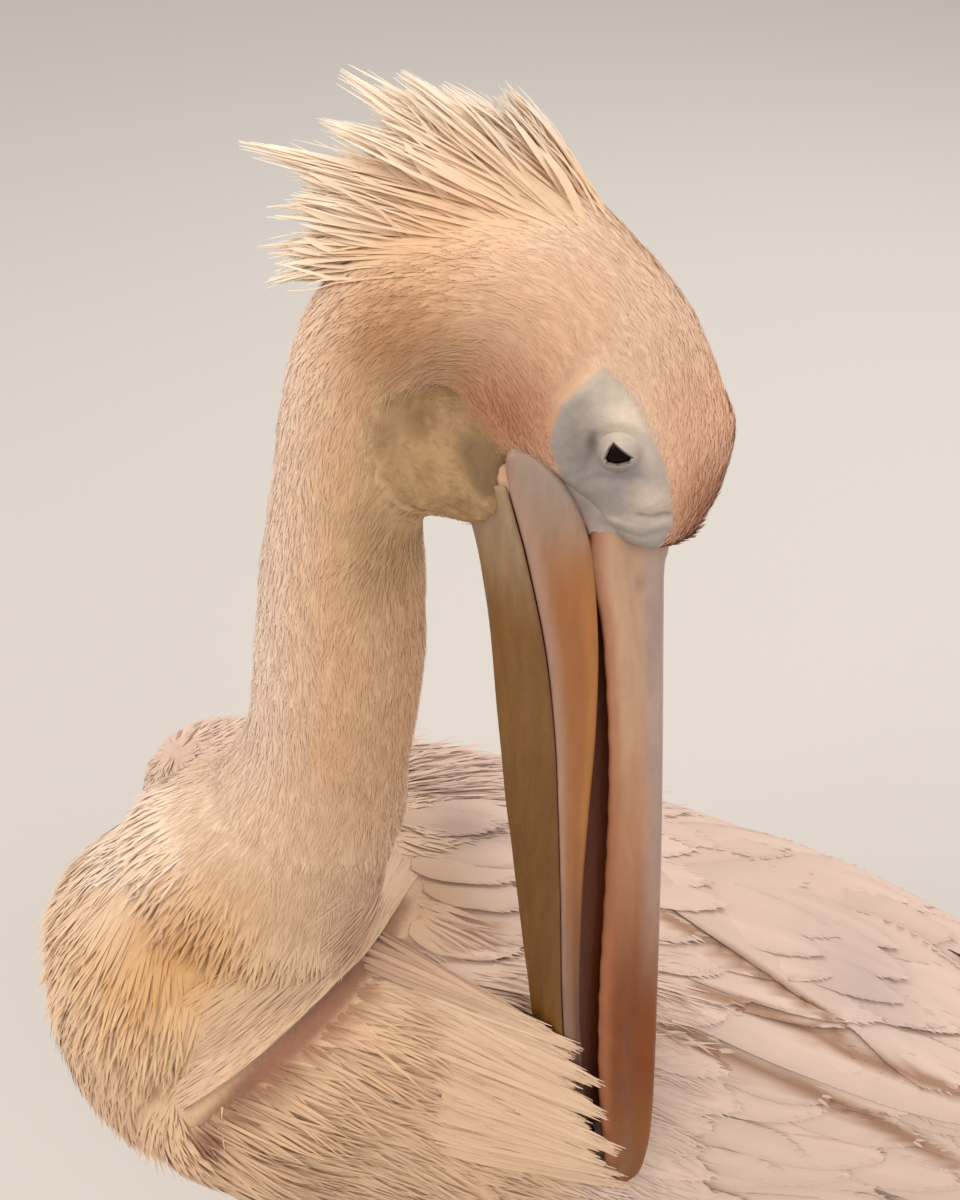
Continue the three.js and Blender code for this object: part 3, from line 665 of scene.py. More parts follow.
VOX = 3.4
soups = [trunk.mesh(72, DEPTH["trunk"]), neck.mesh(64, DEPTH["neck"]), head.mesh(64, DEPTH["head"]), throat.mesh(48, 0.0)]
for s in (1, -1):
    soups.append(wings[s].mesh(60, DEPTH["wing"]))
    soups.append(thighs[s].mesh(36, DEPTH["thigh"]))
soups.append(Loft(TAIL[:3] * A([1, 1, 1, 1, 0.8, 0.8]), SIDE, A([0, 0.35, 0.937]), 2.3).mesh(40, 1.0))
sv, sq = remesh("skin_raw", soups, VOX)
sv = laplace(sv, sq, 6)
dn, dh, dt_, dtr = neck.param(sv)[2], head.param(sv)[2], throat.param(sv)[2], trunk.param(sv)[2]
both = gauss(np.minimum(dn, 40) ** 2, 10) * gauss(np.minimum(dh, 40) ** 2, 10)
arch = (sv[:, 1] > -60) & (sv[:, 2] > 780)
sv = laplace(sv, sq, 34, mask=np.clip(both * arch * 1.6, 0, 1))
base = gauss(np.minimum(dn, 60) ** 2, 16) * gauss(np.minimum(dtr, 60) ** 2, 16)
sv = laplace(sv, sq, 14, mask=np.clip(base * 1.5, 0, 1))

web = gauss(np.sum((sv - A([57.0, 8.0, 772.0])) ** 2, 1), 15.0)   # where the pouch begins
sv = laplace(sv, sq, 30, mask=np.clip(web * 1.3, 0, 1))


def around_face(r):
    def test(p):
        u, w, s = head_local(p)
        d = poly_sdf(np.column_stack([u, w]), FACE)
        return (d < r) & (np.abs(s) > 5) & (head.param(p)[2] < 9)
    return test


def around_eye(r):
    def test(p):
        u, w, s = head_local(p)
        return (np.hypot(u - EYE_AT[0], w - EYE_AT[1]) < r) & (np.abs(s) > 12)
    return test


sf = [list(f) for f in sq]
sv, sf = refine(sv, sf, lambda p: (head.param(p)[2] < 8) & (p[:, 2] > 740) | (throat.param(p)[2] < 6))
sv, sf = refine(sv, sf, around_face(4))
sv, sf = refine(sv, sf, around_eye(16))
sv, sf = refine(sv, sf, around_eye(12))

LID = A([(-5.1, -1.4), (-3.0, -3.2), (1.4, -5.0), (3.3, -4.3), (3.9, 0.0), (3.0, 4.8), (1.5, 6.0), (-2.0, 2.2)], float)


def face_relief(v):
    """Raises the bare face to the coat's level and models lids, folds and creases on it."""
    u, w, s = head_local(v)
    sgn = np.sign(s)
    d = poly_sdf(np.column_stack([u, w]), FACE)
    near = (np.abs(s) > 4) & (head.param(v)[2] < 9)
    f = smooth(3.0, -3.0, d) * near
    a, b = u - EYE_AT[0], w - EYE_AT[1]
    r = np.hypot(a, b)
    h = np.abs(s) + 1.9 * f                                   # level with the coat round it
    h = h + f * 2.4 * gauss((a + 14.5) ** 2 + (b - 4) ** 2 * 0.6, 6.5)        # puffy hood above the eye
    h = h - f * 1.1 * gauss((a + 3.5 + 0.5 * (b + 10)) ** 2 * 0.12 + (b + 10.4) ** 2, 1.6)   # crease before the eye
    h = h + f * 1.0 * gauss((a - 3) ** 2 * 0.4 + (b - 15.5) ** 2, 4.0)
    h = h + f * 1.3 * gauss((a - 22.5) ** 2 + (b - 14) ** 2 * 0.7, 5.0)      # swelling by the bill
    h = h - f * 0.8 * gauss((a - 10.5) ** 2 + (b - 2) ** 2 * 0.5, 3.5)
    h = h - f * 1.9 * gauss((a - 5) ** 2 * 0.6 + (b + 14) ** 2, 6.0)        # hollow before the eye
    h = h - f * 0.9 * gauss((b + 10.5 + 0.25 * a) ** 2 + np.maximum(np.abs(a) - 8, 0) ** 2, 1.3)   # fold at the front corner
    h = h - f * 0.7 * gauss((a - 11 - 0.08 * b ** 2 * 0.2) ** 2 + np.maximum(np.abs(b) - 12, 0) ** 2, 1.6)  # fold under the eye
    for k, amp in ((-17.0, 0.3), (-10.5, 0.6)):                   # creases before the bill
        h = h - f * amp * gauss((u - k - 1.6 * np.sin(w * 0.25)) ** 2, 1.2) * smooth(-20, -8, w + 4)
    h = h + f * 0.10 * np.sin(u * 0.9 + np.sin(w * 0.4) * 2) * np.sin(w * 0.7 + 1) * smooth(14, 20, r)
    # lids wrapped on the eyeball, with a three-cornered opening
    R = EYE_RADIUS + 1.0
    ball = EYE_AT[2] + np.sqrt(np.maximum(R * R - np.minimum(r, R) ** 2 * 0.92, 0))
    lid_w = smooth(15.0, 7.0, r) * near
    h = h * (1 - lid_w) + np.maximum(ball - 0.2, h * 0.6 + ball * 0.4) * lid_w
    opening = poly_sdf(np.column_stack([a, b]), LID)
    h = h + near * lid_w * 0.35 * gauss((opening - 1.2) ** 2, 0.9)              # swollen lid edge
    h = h - near * lid_w * 0.3 * gauss((opening - 3.6) ** 2, 0.8)
    h = np.where(near & (opening < 0), h - 3.2 * smooth(0.25, -0.7, opening), h)
    move = np.where(near & (f + lid_w > 0), h - np.abs(s), 0) * sgn
    return v + move[:, None] * RIGHT_DIR


sv = face_relief(sv)
# folds of the bare throat
tt, ta, td = throat.param(sv)
wr = smooth(6, 1, td) * smooth(0.05, 0.2, tt)
wr = wr * bare_throat(sv)
fold = 1.2 * np.sin(ta * 9 + np.sin(sv[:, 2] * 0.11) * 2.2) * np.sin(sv[:, 1] * 0.3 + ta * 3) + 0.45 * np.sin(ta * 26 + np.sin(sv[:, 2] * 0.3) * 2) * np.sin(sv[:, 1] * 0.8 + sv[:, 2] * 0.5)
sv = sv + (wr * fold)[:, None] * norm(np.column_stack([np.zeros(len(sv)), sv[:, 1] * 0, sv[:, 2] * 0 - 1]) + 0.9 * RIGHT_DIR)


me = bpy.data.meshes.new("skin")
me.from_pydata([tuple(p) for p in (sv + SHIFT) / 1000], [], sf)
me.polygons.foreach_set("use_smooth", np.ones(len(me.polygons), bool))
at = me.color_attributes.new("tint", "FLOAT_COLOR", "POINT")
at.data.foreach_set("color", np.column_stack([np.clip(skin_colour(sv), 0, 1), np.ones(len(sv))]).astype(np.float32).ravel())
me.validate()
me.update()
skin = bpy.data.objects.new("skin", me)
bpy.context.scene.collection.objects.link(skin)
me.materials.append(material("skin", rough=0.62, spec=0.3, noise=[(260, (1, 1, 1), 0.93, 1.05), (70, (1, 1, 1), 0.94, 1.04)],
                             bump=[(900, (1, 1, 1), 0.25, 0.0006), (240, (1, 1, 1), 0.25, 0.0012)], sub=0.08))
keep(skin, "plumage", "trunk", "neck_lower", "neck_middle", "neck_upper", "head", "wing_left", "wing_right", "thigh_left",
     "thigh_right", "throat_pouch")
SKV, SKN, SKT = mesh_arrays(me)
SKV = SKV * 1000 - SHIFT
TREE = BVHTree.FromPolygons([tuple(p) for p in SKV], [tuple(t) for t in SKT.tolist()])
print("skin", len(SKV), len(SKT))


# ------------------------------------------------------------------ eyes
def uv_sphere(c, r, n=40):
    la = np.linspace(-np.pi / 2, np.pi / 2, n // 2 + 1)[1:-1]
    return skin_rings([c + np.column_stack([r * math.cos(t) * np.cos(np.arange(n) * 2 * np.pi / n), r * math.cos(t) * np.sin(np.arange(n) * 2 * np.pi / n),
                                            np.full(n, r * math.sin(t))]) for t in la])


EYE = material("eye", rough=0.12, spec=0.1, color=(0.005, 0.0018, 0.001), tint=False)
for s, side in ((1, "right"), (-1, "left")):
    c = head_point(EYE_AT[0], EYE_AT[1], s * EYE_AT[2])
    v, f = uv_sphere(c, EYE_RADIUS - 0.1)
    keep(make("eye_ball_" + side, v, f, EYE), "eye", "eye_" + side)


def tube(path, r, n=10, closed=True):
    path = np.asarray(path, float)
    m = len(path)
    d = norm(np.roll(path, -1, 0) - np.roll(path, 1, 0))
    up = norm(np.cross(d, RIGHT_DIR + A([0.01, 0.02, 0.03])))
    bi = np.cross(d, up)
    t = 2 * np.pi * np.arange(n) / n
    v = (path[:, None] + r * (np.cos(t)[None, :, None] * up[:, None] + np.sin(t)[None, :, None] * bi[:, None])).reshape(-1, 3)
    i = np.arange(m)[:, None]
    j = np.arange(n)[None]
    q = np.stack([i * n + j, i * n + (j + 1) % n, ((i + 1) % m) * n + (j + 1) % n, ((i + 1) % m) * n + j], -1).reshape(-1, 4)
    return v, q


LIDMAT = material("lid_edge", rough=0.45, spec=0.4, color=tuple(lin((96, 78, 70))), tint=False)
for s, side in ((1, "right"), (-1, "left")):
    loop = densify(np.vstack([LID, LID[:1]]), 8)[:-1]
    ab = loop + norm(loop) * 0.15
    rr = np.hypot(ab[:, 0], ab[:, 1])
    h = EYE_AT[2] + np.sqrt(np.maximum((EYE_RADIUS + 0.55) ** 2 - rr ** 2 * 0.92, 0))
    v, f = tube(head_point(EYE_AT[0] + ab[:, 0], EYE_AT[1] + ab[:, 1], s * h), 0.55)
    keep(make("lid_edge_" + side, v, f, LIDMAT), "plumage")


# ------------------------------------------------------------------ bill and pouch
def closed_loop(pts, k):
    pts = np.asarray(pts, float)
    n = len(pts)
    q = np.vstack([pts[-1:], pts, pts[:2]])
    out = []
    for i in range(n):
        a, b, c, d = q[i], q[i + 1], q[i + 2], q[i + 3]
        for j in range(k):
            f = j / k
            out.append(0.5 * (2 * b + (c - a) * f + (2 * a - 5 * b + 4 * c - d) * f ** 2 + (3 * b - a - 3 * c + d) * f ** 3))
    return A(out)


half = [(0, 1), (.3, .95), (.44, .66), (.8, .4), (1, .16), (.93, 0), (0, .1)]
outline = closed_loop(half + [(-x, y) for x, y in reversed(half[1:-1])], 5)
us = densify(UPPER, 10)
rings, cols = [], []
for u, ridge, edge, hw in us:
    x, y = outline[:, 0] * hw, edge + (ridge - edge) * outline[:, 1]
    side = np.abs(outline[:, 0])
    y = y + 0.25 * np.sin(u * 0.33 + outline[:, 1] * 3) * smooth(0.2, 0.7, side) * smooth(20, 60, u)
    rings.append(head_point(np.full(len(x), u), y, x))
    yy = outline[:, 1]
    ridge_w = smooth(0.52, 0.32, side) * smooth(0.45, 0.7, yy)
    c = np.tile(lin((196, 158, 130)), (len(x), 1))
    t = np.clip(u / 384, 0, 1)

    def mix(c, rgb, wgt):
        wgt = np.broadcast_to(np.clip(wgt, 0, 1), len(c))[:, None]
        return c * (1 - wgt) + lin(rgb) * wgt
    c = mix(c, (182, 130, 92), smooth(0.1, 0.45, t))
    c = mix(c, (124, 60, 2), smooth(0.34, 0.68, t))
    c = mix(c, (146, 88, 26), smooth(0.78, 0.95, t))
    c = mix(c, (168, 148, 142), ridge_w * (1 - smooth(0.35, 0.72, t)) * 0.85)
    c = mix(c, (124, 70, 28), smooth(0.78, 1.0, t) * 0.9)
    c = mix(c, (160, 100, 66), smooth(0.32, 0.12, yy) * smooth(0.75, 0.95, side) * 0.7)
    c = mix(c, (124, 70, 38), smooth(0.12, 0.0, yy) * 0.9)
    c = mix(c, (92, 70, 62), gauss(np.array((u - 18) ** 2 / 9.0), 1.0) * gauss((side - 0.47) ** 2, 0.05) * 0.35)
    cols.append(c)
v, f = skin_rings(rings)
cols = np.vstack(cols + [cols[0].mean(0)[None], cols[-1].mean(0)[None]])
HORN = material("horn", rough=0.42, spec=0.4, noise=[(60, (1, 1, 0.16), 0.90, 1.08), (240, (1, 1, 0.1), 0.93, 1.05)],
                bump=[(320, (1, 1, 0.08), 0.25, 0.0008), (70, (1, 1, 1), 0.2, 0.0012)], sub=0.05)
keep(make("bill_upper_horn", v, f, HORN, cols), "bill_horn", "bill_upper")

rs = densify(np.vstack([[-50.5, -44.5, 25.5, 2.5, 1.8], RAMUS]), 8)
parts_v, parts_f, parts_c, o = [], [], [], 0
for sgn in (1, -1):
    rings, cols = [], []
    for i, (u, w, s, rd, rt) in enumerate(rs):
        t2 = 2 * np.pi * np.arange(28) / 28
        x, y = np.cos(t2), np.sin(t2)
        ex, ey = np.sign(x) * np.abs(x) ** (2 / 2.6), np.sign(y) * np.abs(y) ** (2 / 2.6)
        rings.append(head_point(np.full(28, u), w + rd * ey, sgn * (s + rt * ex)))
        t = np.clip((u + 46) / 403, 0, 1)
        c = np.tile(lin((154, 100, 56)), (28, 1))
        c = mix(c, (156, 136, 122), smooth(0.16, 0.02, t))
        c = mix(c, (176, 116, 62), smooth(0.3, 0.8, ey) * smooth(0.06, 0.2, t) * 0.8)
        # paler underside of the ramus with a painted bluish reflection of the light round it
        c = mix(c, (166, 134, 118), smooth(-0.2, -0.8, ey) * 0.8)
        c = mix(c, (136, 104, 92), smooth(0.35, 0.9, t) * smooth(0.1, -0.7, ey) * 0.8)
        c = mix(c, (78, 56, 52), smooth(0.4, 0.8, t) * smooth(-0.2, 0.6, ey) * 0.9)
        # the same painted bluish reflection, deeper, on the underside towards the tip
        c = mix(c, (120, 98, 90), smooth(0.5, 0.8, t) * smooth(0.5, -0.2, ey) * 0.75)
        cols.append(c)
    v, f = skin_rings(rings)
    parts_v.append(v); parts_f.append(f + o); o += len(v)
    parts_c.append(np.vstack(cols + [cols[0].mean(0)[None], cols[-1].mean(0)[None]]))
keep(make("bill_lower_horn", np.vstack(parts_v), np.vstack(parts_f), HORN, np.vstack(parts_c)), "lower_bill", "bill_lower")

ks = densify(POUCH_KEEL, 8)
ru = densify(RAMUS[1:11], 8)
rings, cols = [], []
for (u, low, b, lift), (_, w, s, rw, rt) in zip(ks, ru):
    inner, under, outer = s - rt - 0.3, w - rw - 0.3, s + rt * 0.7
    h = [(inner * 0.4, w + lift), (inner * 0.75, w + lift * 0.7), (inner, w), (inner, under), (outer, under - 0.4),
         ((outer + b) / 2, (under + low) / 2), (b, under * 0.14 + low * 0.86), (b * 0.45, low)]
    loop = closed_loop(h + [(-x, y) for x, y in reversed(h)], 5)
    dep = smooth(under + 1, under - 8, loop[:, 1])
    fold = dep * (0.7 * np.sin(loop[:, 1] * 0.9 + np.sin(u * 0.045) * 1.4) + 0.35 * np.sin(loop[:, 1] * 2.1 + u * 0.03)) * smooth(-34, 20, u)
    rings.append(head_point(np.full(len(loop), u), loop[:, 1], loop[:, 0] + np.sign(loop[:, 0]) * fold))
    t = np.clip(u / 338, 0, 1)
    c = np.tile(lin((122, 86, 42)), (len(loop), 1))
    c = mix(c, (156, 132, 104), smooth(0.12, -0.05, u / 338))
    c = mix(c, (108, 72, 30), smooth(0.15, 0.5, t))
    c = mix(c, (150, 96, 34), smooth(0.68, 0.95, t) * 0.85)
    c = mix(c, (112, 66, 48), smooth(under - 2, under + 2, loop[:, 1]) * 0.9)
    # painted shade: the lining inside the mouth, above the rami, dark
    c = mix(c, (94, 42, 16), smooth(w, w + 8, loop[:, 1]))
    cols.append(c)
v, f = skin_rings(rings)
POUCH = material("pouch", rough=0.5, spec=0.35, noise=[(150, (1, 1, 0.2), 0.86, 1.1), (500, (1, 1, 0.5), 0.94, 1.05)],
                 bump=[(420, (1, 1, 0.18), 0.4, 0.0008)], sub=0.08)
keep(make("gular_skin", v, f, POUCH, np.vstack(cols + [cols[0].mean(0)[None], cols[-1].mean(0)[None]])), "pouch_skin", "gular_pouch")

# skin at the corner of the mouth, between the rami and the upper bill, and the knob at the end of each ramus
KNOB = [float(k[0]) for k in head_local(A([[50.0, 11.5, 780.5]]))]
gape = densify(A([[-41, -28, 24.0, 1.6, 0.8], [-36, -24.5, 23.4, 3.4, 1.4], [-30, -20.0, 22.4, 5.6, 1.5], [-24, -14.5, 21.4, 8.0, 1.5], [-18, -9.0, 20.8, 10.5, 1.4],
                  [-13, -5.5, 20.4, 12.0, 1.2], [-9.5, -4.5, 20.2, 11.5, 0.9], [-7.5, -4.5, 20, 9.0, 0.5]], float), 6)
parts_v, parts_f, parts_c, o = [], [], [], 0
for sgn in (1, -1):
    rings, cols = [], []
    for u, w, s, rd, rt in gape:
        t2 = 2 * np.pi * np.arange(20) / 20
        wave = 0.25 * np.sin(u * 0.9 + np.sin(t2) * 2) + 0.2 * np.sin(np.sin(t2) * 7 + u * 0.3)
        ww = w + rd * np.sin(t2) + 0.3 * np.sin(u * 0.9)
        rings.append(head_point(np.full(20, u), ww, sgn * (s - 0.36 * np.maximum(ww + 13, 0) + (rt + wave * 0.5) * np.cos(t2))))
        c = np.tile(lin((160, 150, 146)), (20, 1))
        c = mix(c, (206, 182, 168), smooth(-0.45, -0.85, np.sin(t2)) * 0.8)
        c = mix(c, (188, 172, 160), smooth(-15, -9, u) * 0.7)
        cols.append(c)
    v, f = skin_rings(rings)
    parts_v.append(v); parts_f.append(f + o); o += len(v)
    parts_c.append(np.vstack(cols + [cols[0].mean(0)[None], cols[-1].mean(0)[None]]))
    knob = KNOB
    v, f = uv_sphere(np.zeros(3), 1.0, 24)
    q = head_point(knob[0] + v[:, 0] * 7.5, knob[1] + v[:, 1] * 4.6 + 0.35 * np.sin(v[:, 0] * 9), sgn * (knob[2] + v[:, 2] * 4.2 + 0.3 * np.sin(v[:, 1] * 7)))
    parts_v.append(q); parts_f.append(f + o); o += len(q)
    parts_c.append(np.tile(lin((184, 148, 122)), (len(q), 1)) * (1 + 0.12 * np.sin(v[:, 0] * 8) * np.sin(v[:, 1] * 6))[:, None])
keep(make("gape_skin", np.vstack(parts_v), np.vstack(parts_f), POUCH, np.vstack(parts_c)), "pouch_skin")


# ------------------------------------------------------------------ legs, feet and claws
def cad_mm(*names):
    vs, fs, o = [], [], 0
    for nme in names:
        v, _, t = mesh_arrays(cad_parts[nme].data)
        vs.append(v * 1000 - SHIFT); fs.append(t + o); o += len(v)
    return np.vstack(vs), np.vstack(fs)


LEG = material("leg_skin", rough=0.5, spec=0.35, noise=[(220, (1, 1, 1), 0.86, 1.08), (40, (1, 1, 1), 0.92, 1.06)],
               bump=[(520, (1, 1, 0.55), 0.7, 0.0012)], sub=0.06)
CLAW = material("claw", rough=0.35, spec=0.4, color=tuple(lin((84, 66, 58))), tint=False, noise=[(200, (1, 1, 1), 0.8, 1.1)])
for s, side in ((1, "left"), (-1, "right")):
    v, q = remesh("foot_raw", [cad_mm("foot_" + side), cad_mm("shank_" + side)], 1.5)
    v = laplace(v, q, 5)
    v[:, 2] = np.maximum(v[:, 2], 0.0)
    col = np.tile(lin((222, 160, 122)), (len(v), 1))
    wgt = smooth(60, 10, v[:, 2])[:, None]
    col = col * (1 - wgt) + lin((226, 158, 104)) * wgt
    wgt = (0.35 * smooth(-0.2, 0.6, np.sin(v[:, 0] * 0.35) * np.sin(v[:, 1] * 0.22 + 1)))[:, None]
    col = col * (1 - wgt) + lin((196, 124, 96)) * wgt
    keep(make("foot_skin_" + side, v, q, LEG, col), "leg_skin", "foot_" + side, "shank_" + side)
    for k in (1, 2, 3, 4):
        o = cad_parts["claw_%s_%d" % (side, k)]
        o.data.materials.clear()
        o.data.materials.append(CLAW)
        o.data.polygons.foreach_set("use_smooth", np.ones(len(o.data.polygons), bool))


# ------------------------------------------------------------------ the lie of the coat
LABELS = [("trunk", trunk, "trunk"), ("neck", neck, "neck"), ("head", head, "head"), ("throat", throat, None),
          ("wing_l", wings[1], "wing"), ("wing_r", wings[-1], "wing"), ("thigh_l", thighs[1], "thigh"), ("thigh_r", thighs[-1], "thigh")]
ATLAS = {"trunk": (0.0, 0.0, 0.5, 0.5), "wing_l": (0.5, 0.0, 0.5, 0.25), "wing_r": (0.5, 0.25, 0.5, 0.25), "neck": (0.0, 0.5, 0.45, 0.5),
         "head": (0.46, 0.5, 0.3, 0.3), "throat": (0.78, 0.5, 0.1, 0.1), "thigh_l": (0.78, 0.62, 0.1, 0.1), "thigh_r": (0.9, 0.62, 0.1, 0.1),
         "tail": (0.46, 0.82, 0.25, 0.18), "crest": (0.73, 0.82, 0.27, 0.18)}


def unwrap(label, t, ang):
    """Place on the skin's own unwrap: angle round a part against length along it, each part in its own field."""
    out = np.empty((len(t), 2))
    for i, (nme, _, _) in enumerate(LABELS):
        m = label == i
        x, y, w, h = ATLAS[nme]
        out[m, 0] = x + 0.004 + (w - 0.01) * ((ang[m] / (2 * np.pi)) % 1)
        out[m, 1] = y + 0.004 + (h - 0.01) * np.clip(t[m], 0, 1)
    return out


def survey(p, n):
    """Part label, place on that part and the direction the feathers lie, at points p with normals n."""
    guides, dists, ts, angs = [], [], [], []
    y = p[:, 1]
    for nme, part, dep in LABELS:
        t, ang, d = part.param(p)
        ts.append(t); angs.append(ang)
        dists.append(np.abs(d + (DEPTH[dep] if dep else 0)))
        if nme == "trunk":
            front = smooth(-90, -190, y)[:, None]
            g = A([0, 1.0, -0.5]) * (1 - front) + A([0, 0.15, -1.0]) * front
            g = g + np.column_stack([0.20 * np.sign(p[:, 0]) * smooth(0, 60, np.abs(p[:, 0])), y * 0, y * 0])
        elif nme == "neck":
            i = np.clip((t * (neck.n - 1)).astype(int), 0, neck.n - 1)
            g = -neck.d[i]
            low = smooth(0.34, 0.10, t)[:, None]
            g = g * (1 - 0.6 * low) + low * A([0.35, -0.25, -0.75])
        elif nme == "head":
            u, w, s = head_local(p)
            i = np.clip((np.minimum(neck.param(p)[0], 1) * (neck.n - 1)).astype(int), 0, neck.n - 1)
            back = smooth(-70, -140, u)[:, None]
            g = norm(-BILL_DIR - 0.45 * CROWN_DIR * smooth(-20, -100, u)[:, None]) * (1 - back) + norm(-neck.d[i] + A([0, -0.3, 0.25])) * back
        elif nme == "throat":
            g = np.tile(A([0, -1.0, -0.2]), (len(p), 1))
        elif nme.startswith("wing"):
            s = 1 if nme.endswith("l") else -1
            outer = smooth(0.2, 0.9, np.abs(n[:, 0]) * (n[:, 0] * s > 0))[:, None]
            g = A([0.16 * s, 1.0, -0.55]) * (1 - outer) + A([0.0, 1.0, -0.48]) * outer
            bend = smooth(-0.35, -0.75, n[:, 1])[:, None]
            g = g * (1 - bend) + A([0.25 * s, 0.2, -1.0]) * bend
        else:
            g = np.tile(A([0, 0.35, -1.0]), (len(p), 1))
        guides.append(g)
    dists = A(dists)
    label = np.argmin(dists, axis=0)
    wgt = np.exp(-np.minimum(dists - dists.min(0), 60) / 9)
    g = sum(w[:, None] * q for w, q in zip(wgt, guides))
    d = norm(g - n * dot(g, n)[:, None])
    idx = np.arange(len(p))
    return label, A(ts)[label, idx], A(angs)[label, idx], d


def rotate(d, n, ang):
    b = np.cross(n, d)
    return d * np.cos(ang)[:, None] + b * np.sin(ang)[:, None]


def ripple(p, scale, seed=0.0):
    q = p / scale
    return (np.sin(q[:, 0] * 1.3 + q[:, 1] * 0.7 + seed) + np.sin(q[:, 1] * 1.1 - q[:, 2] * 0.9 + 2.1 * seed)
            + np.sin(q[:, 2] * 1.2 + q[:, 0] * 0.8 + 1.3 + seed)) / 3


TRI_P = SKV[SKT]
TRI_AREA = np.linalg.norm(np.cross(TRI_P[:, 1] - TRI_P[:, 0], TRI_P[:, 2] - TRI_P[:, 0]), axis=1) / 2
TRI_MID = TRI_P.mean(1)
MID_LABEL = survey(TRI_MID, norm(SKN[SKT].mean(1)))[0]
MID_T = neck.param(TRI_MID)[0]


def sample(mask, spacing):
    """Evenly scattered points on the skin where mask (per triangle) holds, one to a cell of about the spacing."""
    area = np.where(mask, TRI_AREA, 0)
    count = int(area.sum() / spacing ** 2 * 3)
    tri = rng.choice(len(area), count, p=area / area.sum())
    a, b = rng.random((2, count))
    flip = a + b > 1
    a[flip], b[flip] = 1 - a[flip], 1 - b[flip]
    w = np.stack([1 - a - b, a, b], 1)[:, :, None]
    p = (TRI_P[tri] * w).sum(1)
    n = norm((SKN[SKT[tri]] * w).sum(1))
    cell = np.floor(p / (spacing * 0.92) + rng.random(3)).astype(np.int64)
    key = (cell[:, 0] * 73856093) ^ (cell[:, 1] * 19349663) ^ (cell[:, 2] * 83492791)
    _, first = np.unique(key, return_index=True)
    return p[first], n[first]


class Coat:
    """Collects grids of feather surfaces and writes them as mesh objects of under 190,000 triangles."""
    pieces = 0
    tris = 0

    def __init__(self, name, mat, slot="plumage", own=0.35):
        self.name, self.mat, self.slot, self.own, self.items = name, mat, slot, own, []

    def add(self, v, col, root, nrm=None):
        """v, col (N, K, C, 3); root (N, 2) on the unwrap; nrm (N, 3) turns the shading towards the skin's normal."""
        n, k, c = v.shape[:3]
        if nrm is None:
            nrm = np.zeros((n, 3))
        uv = root[:, None, None, :] + np.stack(np.broadcast_arrays(np.linspace(-0.0015, 0.0015, c)[None, :], np.linspace(0, 0.003, k)[:, None]), -1)[None]
        i = np.arange(k - 1)[:, None] * c + np.arange(c - 1)[None]
        q = np.stack([i, i + c, i + c + 1, i + 1], -1).reshape(-1, 4)
        self.items.append((v.reshape(n, k * c, 3), col.reshape(n, k * c, 3), uv.reshape(n, k * c, 2), q, np.repeat(nrm[:, None], k * c, 1)))

    def build(self):
        objs, v, c, uv, f, ns, o, tris = [], [], [], [], [], [], 0, 0

        def flush():
            nonlocal v, c, uv, f, ns, o, tris
            if not v:
                return
            nme = "%s_%d" % (self.name, len(objs) + 1)
            ob = make(nme, np.vstack(v), np.vstack(f), self.mat, np.vstack(c), np.vstack(uv))
            lean = np.vstack(ns)
            if np.abs(lean).max() > 0:
                own = np.empty(len(lean) * 3, np.float32)
                ob.data.vertex_normals.foreach_get("vector", own)
                own = own.reshape(-1, 3)
                own = own * np.where(dot(own, lean) < 0, -1, 1)[:, None]
                ob.data.normals_split_custom_set_from_vertices(norm(own * self.own + lean).tolist())
            keep(ob, self.slot)
            objs.append(ob)
            Coat.tris += tris
            Coat.pieces += 1
            print("coat", nme, tris)
            v, c, uv, f, ns, o, tris = [], [], [], [], [], 0, 0

        for V, C, U, q, NN in self.items:
            per = len(q) * 2
            start = 0
            while start < len(V):
                room = (190000 - tris) // per
                if room < 1:
                    flush()
                    continue
                e = min(len(V), start + room)
                m = V.shape[1]
                v.append(V[start:e].reshape(-1, 3)); c.append(C[start:e].reshape(-1, 3)); uv.append(U[start:e].reshape(-1, 2)); ns.append(NN[start:e].reshape(-1, 3))
                f.append((q[None] + (o + np.arange(e - start) * m)[:, None, None]).reshape(-1, 4))
                o += (e - start) * m
                tris += (e - start) * per
                start = e
        flush()
        return objs


def blades(p, n, d, length, width, h0, h1, k, shape, curl=0.0, tilt=None, bow=None):
    """Strips two vertices wide, from root p along d, rising from h0 to h1 above the skin."""
    t = np.linspace(0, 1, k)
    L = np.broadcast_to(length, len(p))[:, None]
    W = np.broadcast_to(width, len(p))[:, None]
    h0 = np.broadcast_to(h0, len(p))[:, None]
    h1 = np.broadcast_to(h1, len(p))[:, None]
    cu = np.broadcast_to(curl, len(p))[:, None]
    rise = h0 + (h1 - h0) * (1 - (1 - t) ** 2) + cu * L * t ** 2
    b = np.cross(n, d)
    mid = p[:, None] + d[:, None] * (L * t)[..., None] + n[:, None] * rise[..., None]
    if bow is not None:
        mid = mid + b[:, None] * ((bow[:, None] * L) * t ** 2)[..., None]
    half = W / 2 * np.interp(t, np.linspace(0, 1, len(shape)), shape)
    tl = np.zeros(len(p)) if tilt is None else tilt
    cross = b * np.cos(tl)[:, None] + n * np.sin(tl)[:, None]
    off = cross[:, None] * half[..., None]
    return np.stack([mid - off, mid + off], 2)


# Blade colours: root_f to tip_f scales the tone along the blade, the darker root and lighter tip being painted shade
# under the overlapping feathers
def shade(base, v_shape, root_f, tip_f, jitter):
    n, k, c = v_shape
    g = np.interp(np.linspace(0, 1, k), [0, 1], [root_f, tip_f])[None, :, None] * (1 + jitter * rng.normal(size=n))[:, None, None]
    return base[:, None, None, :] * np.broadcast_to(g, (n, k, c))[..., None]


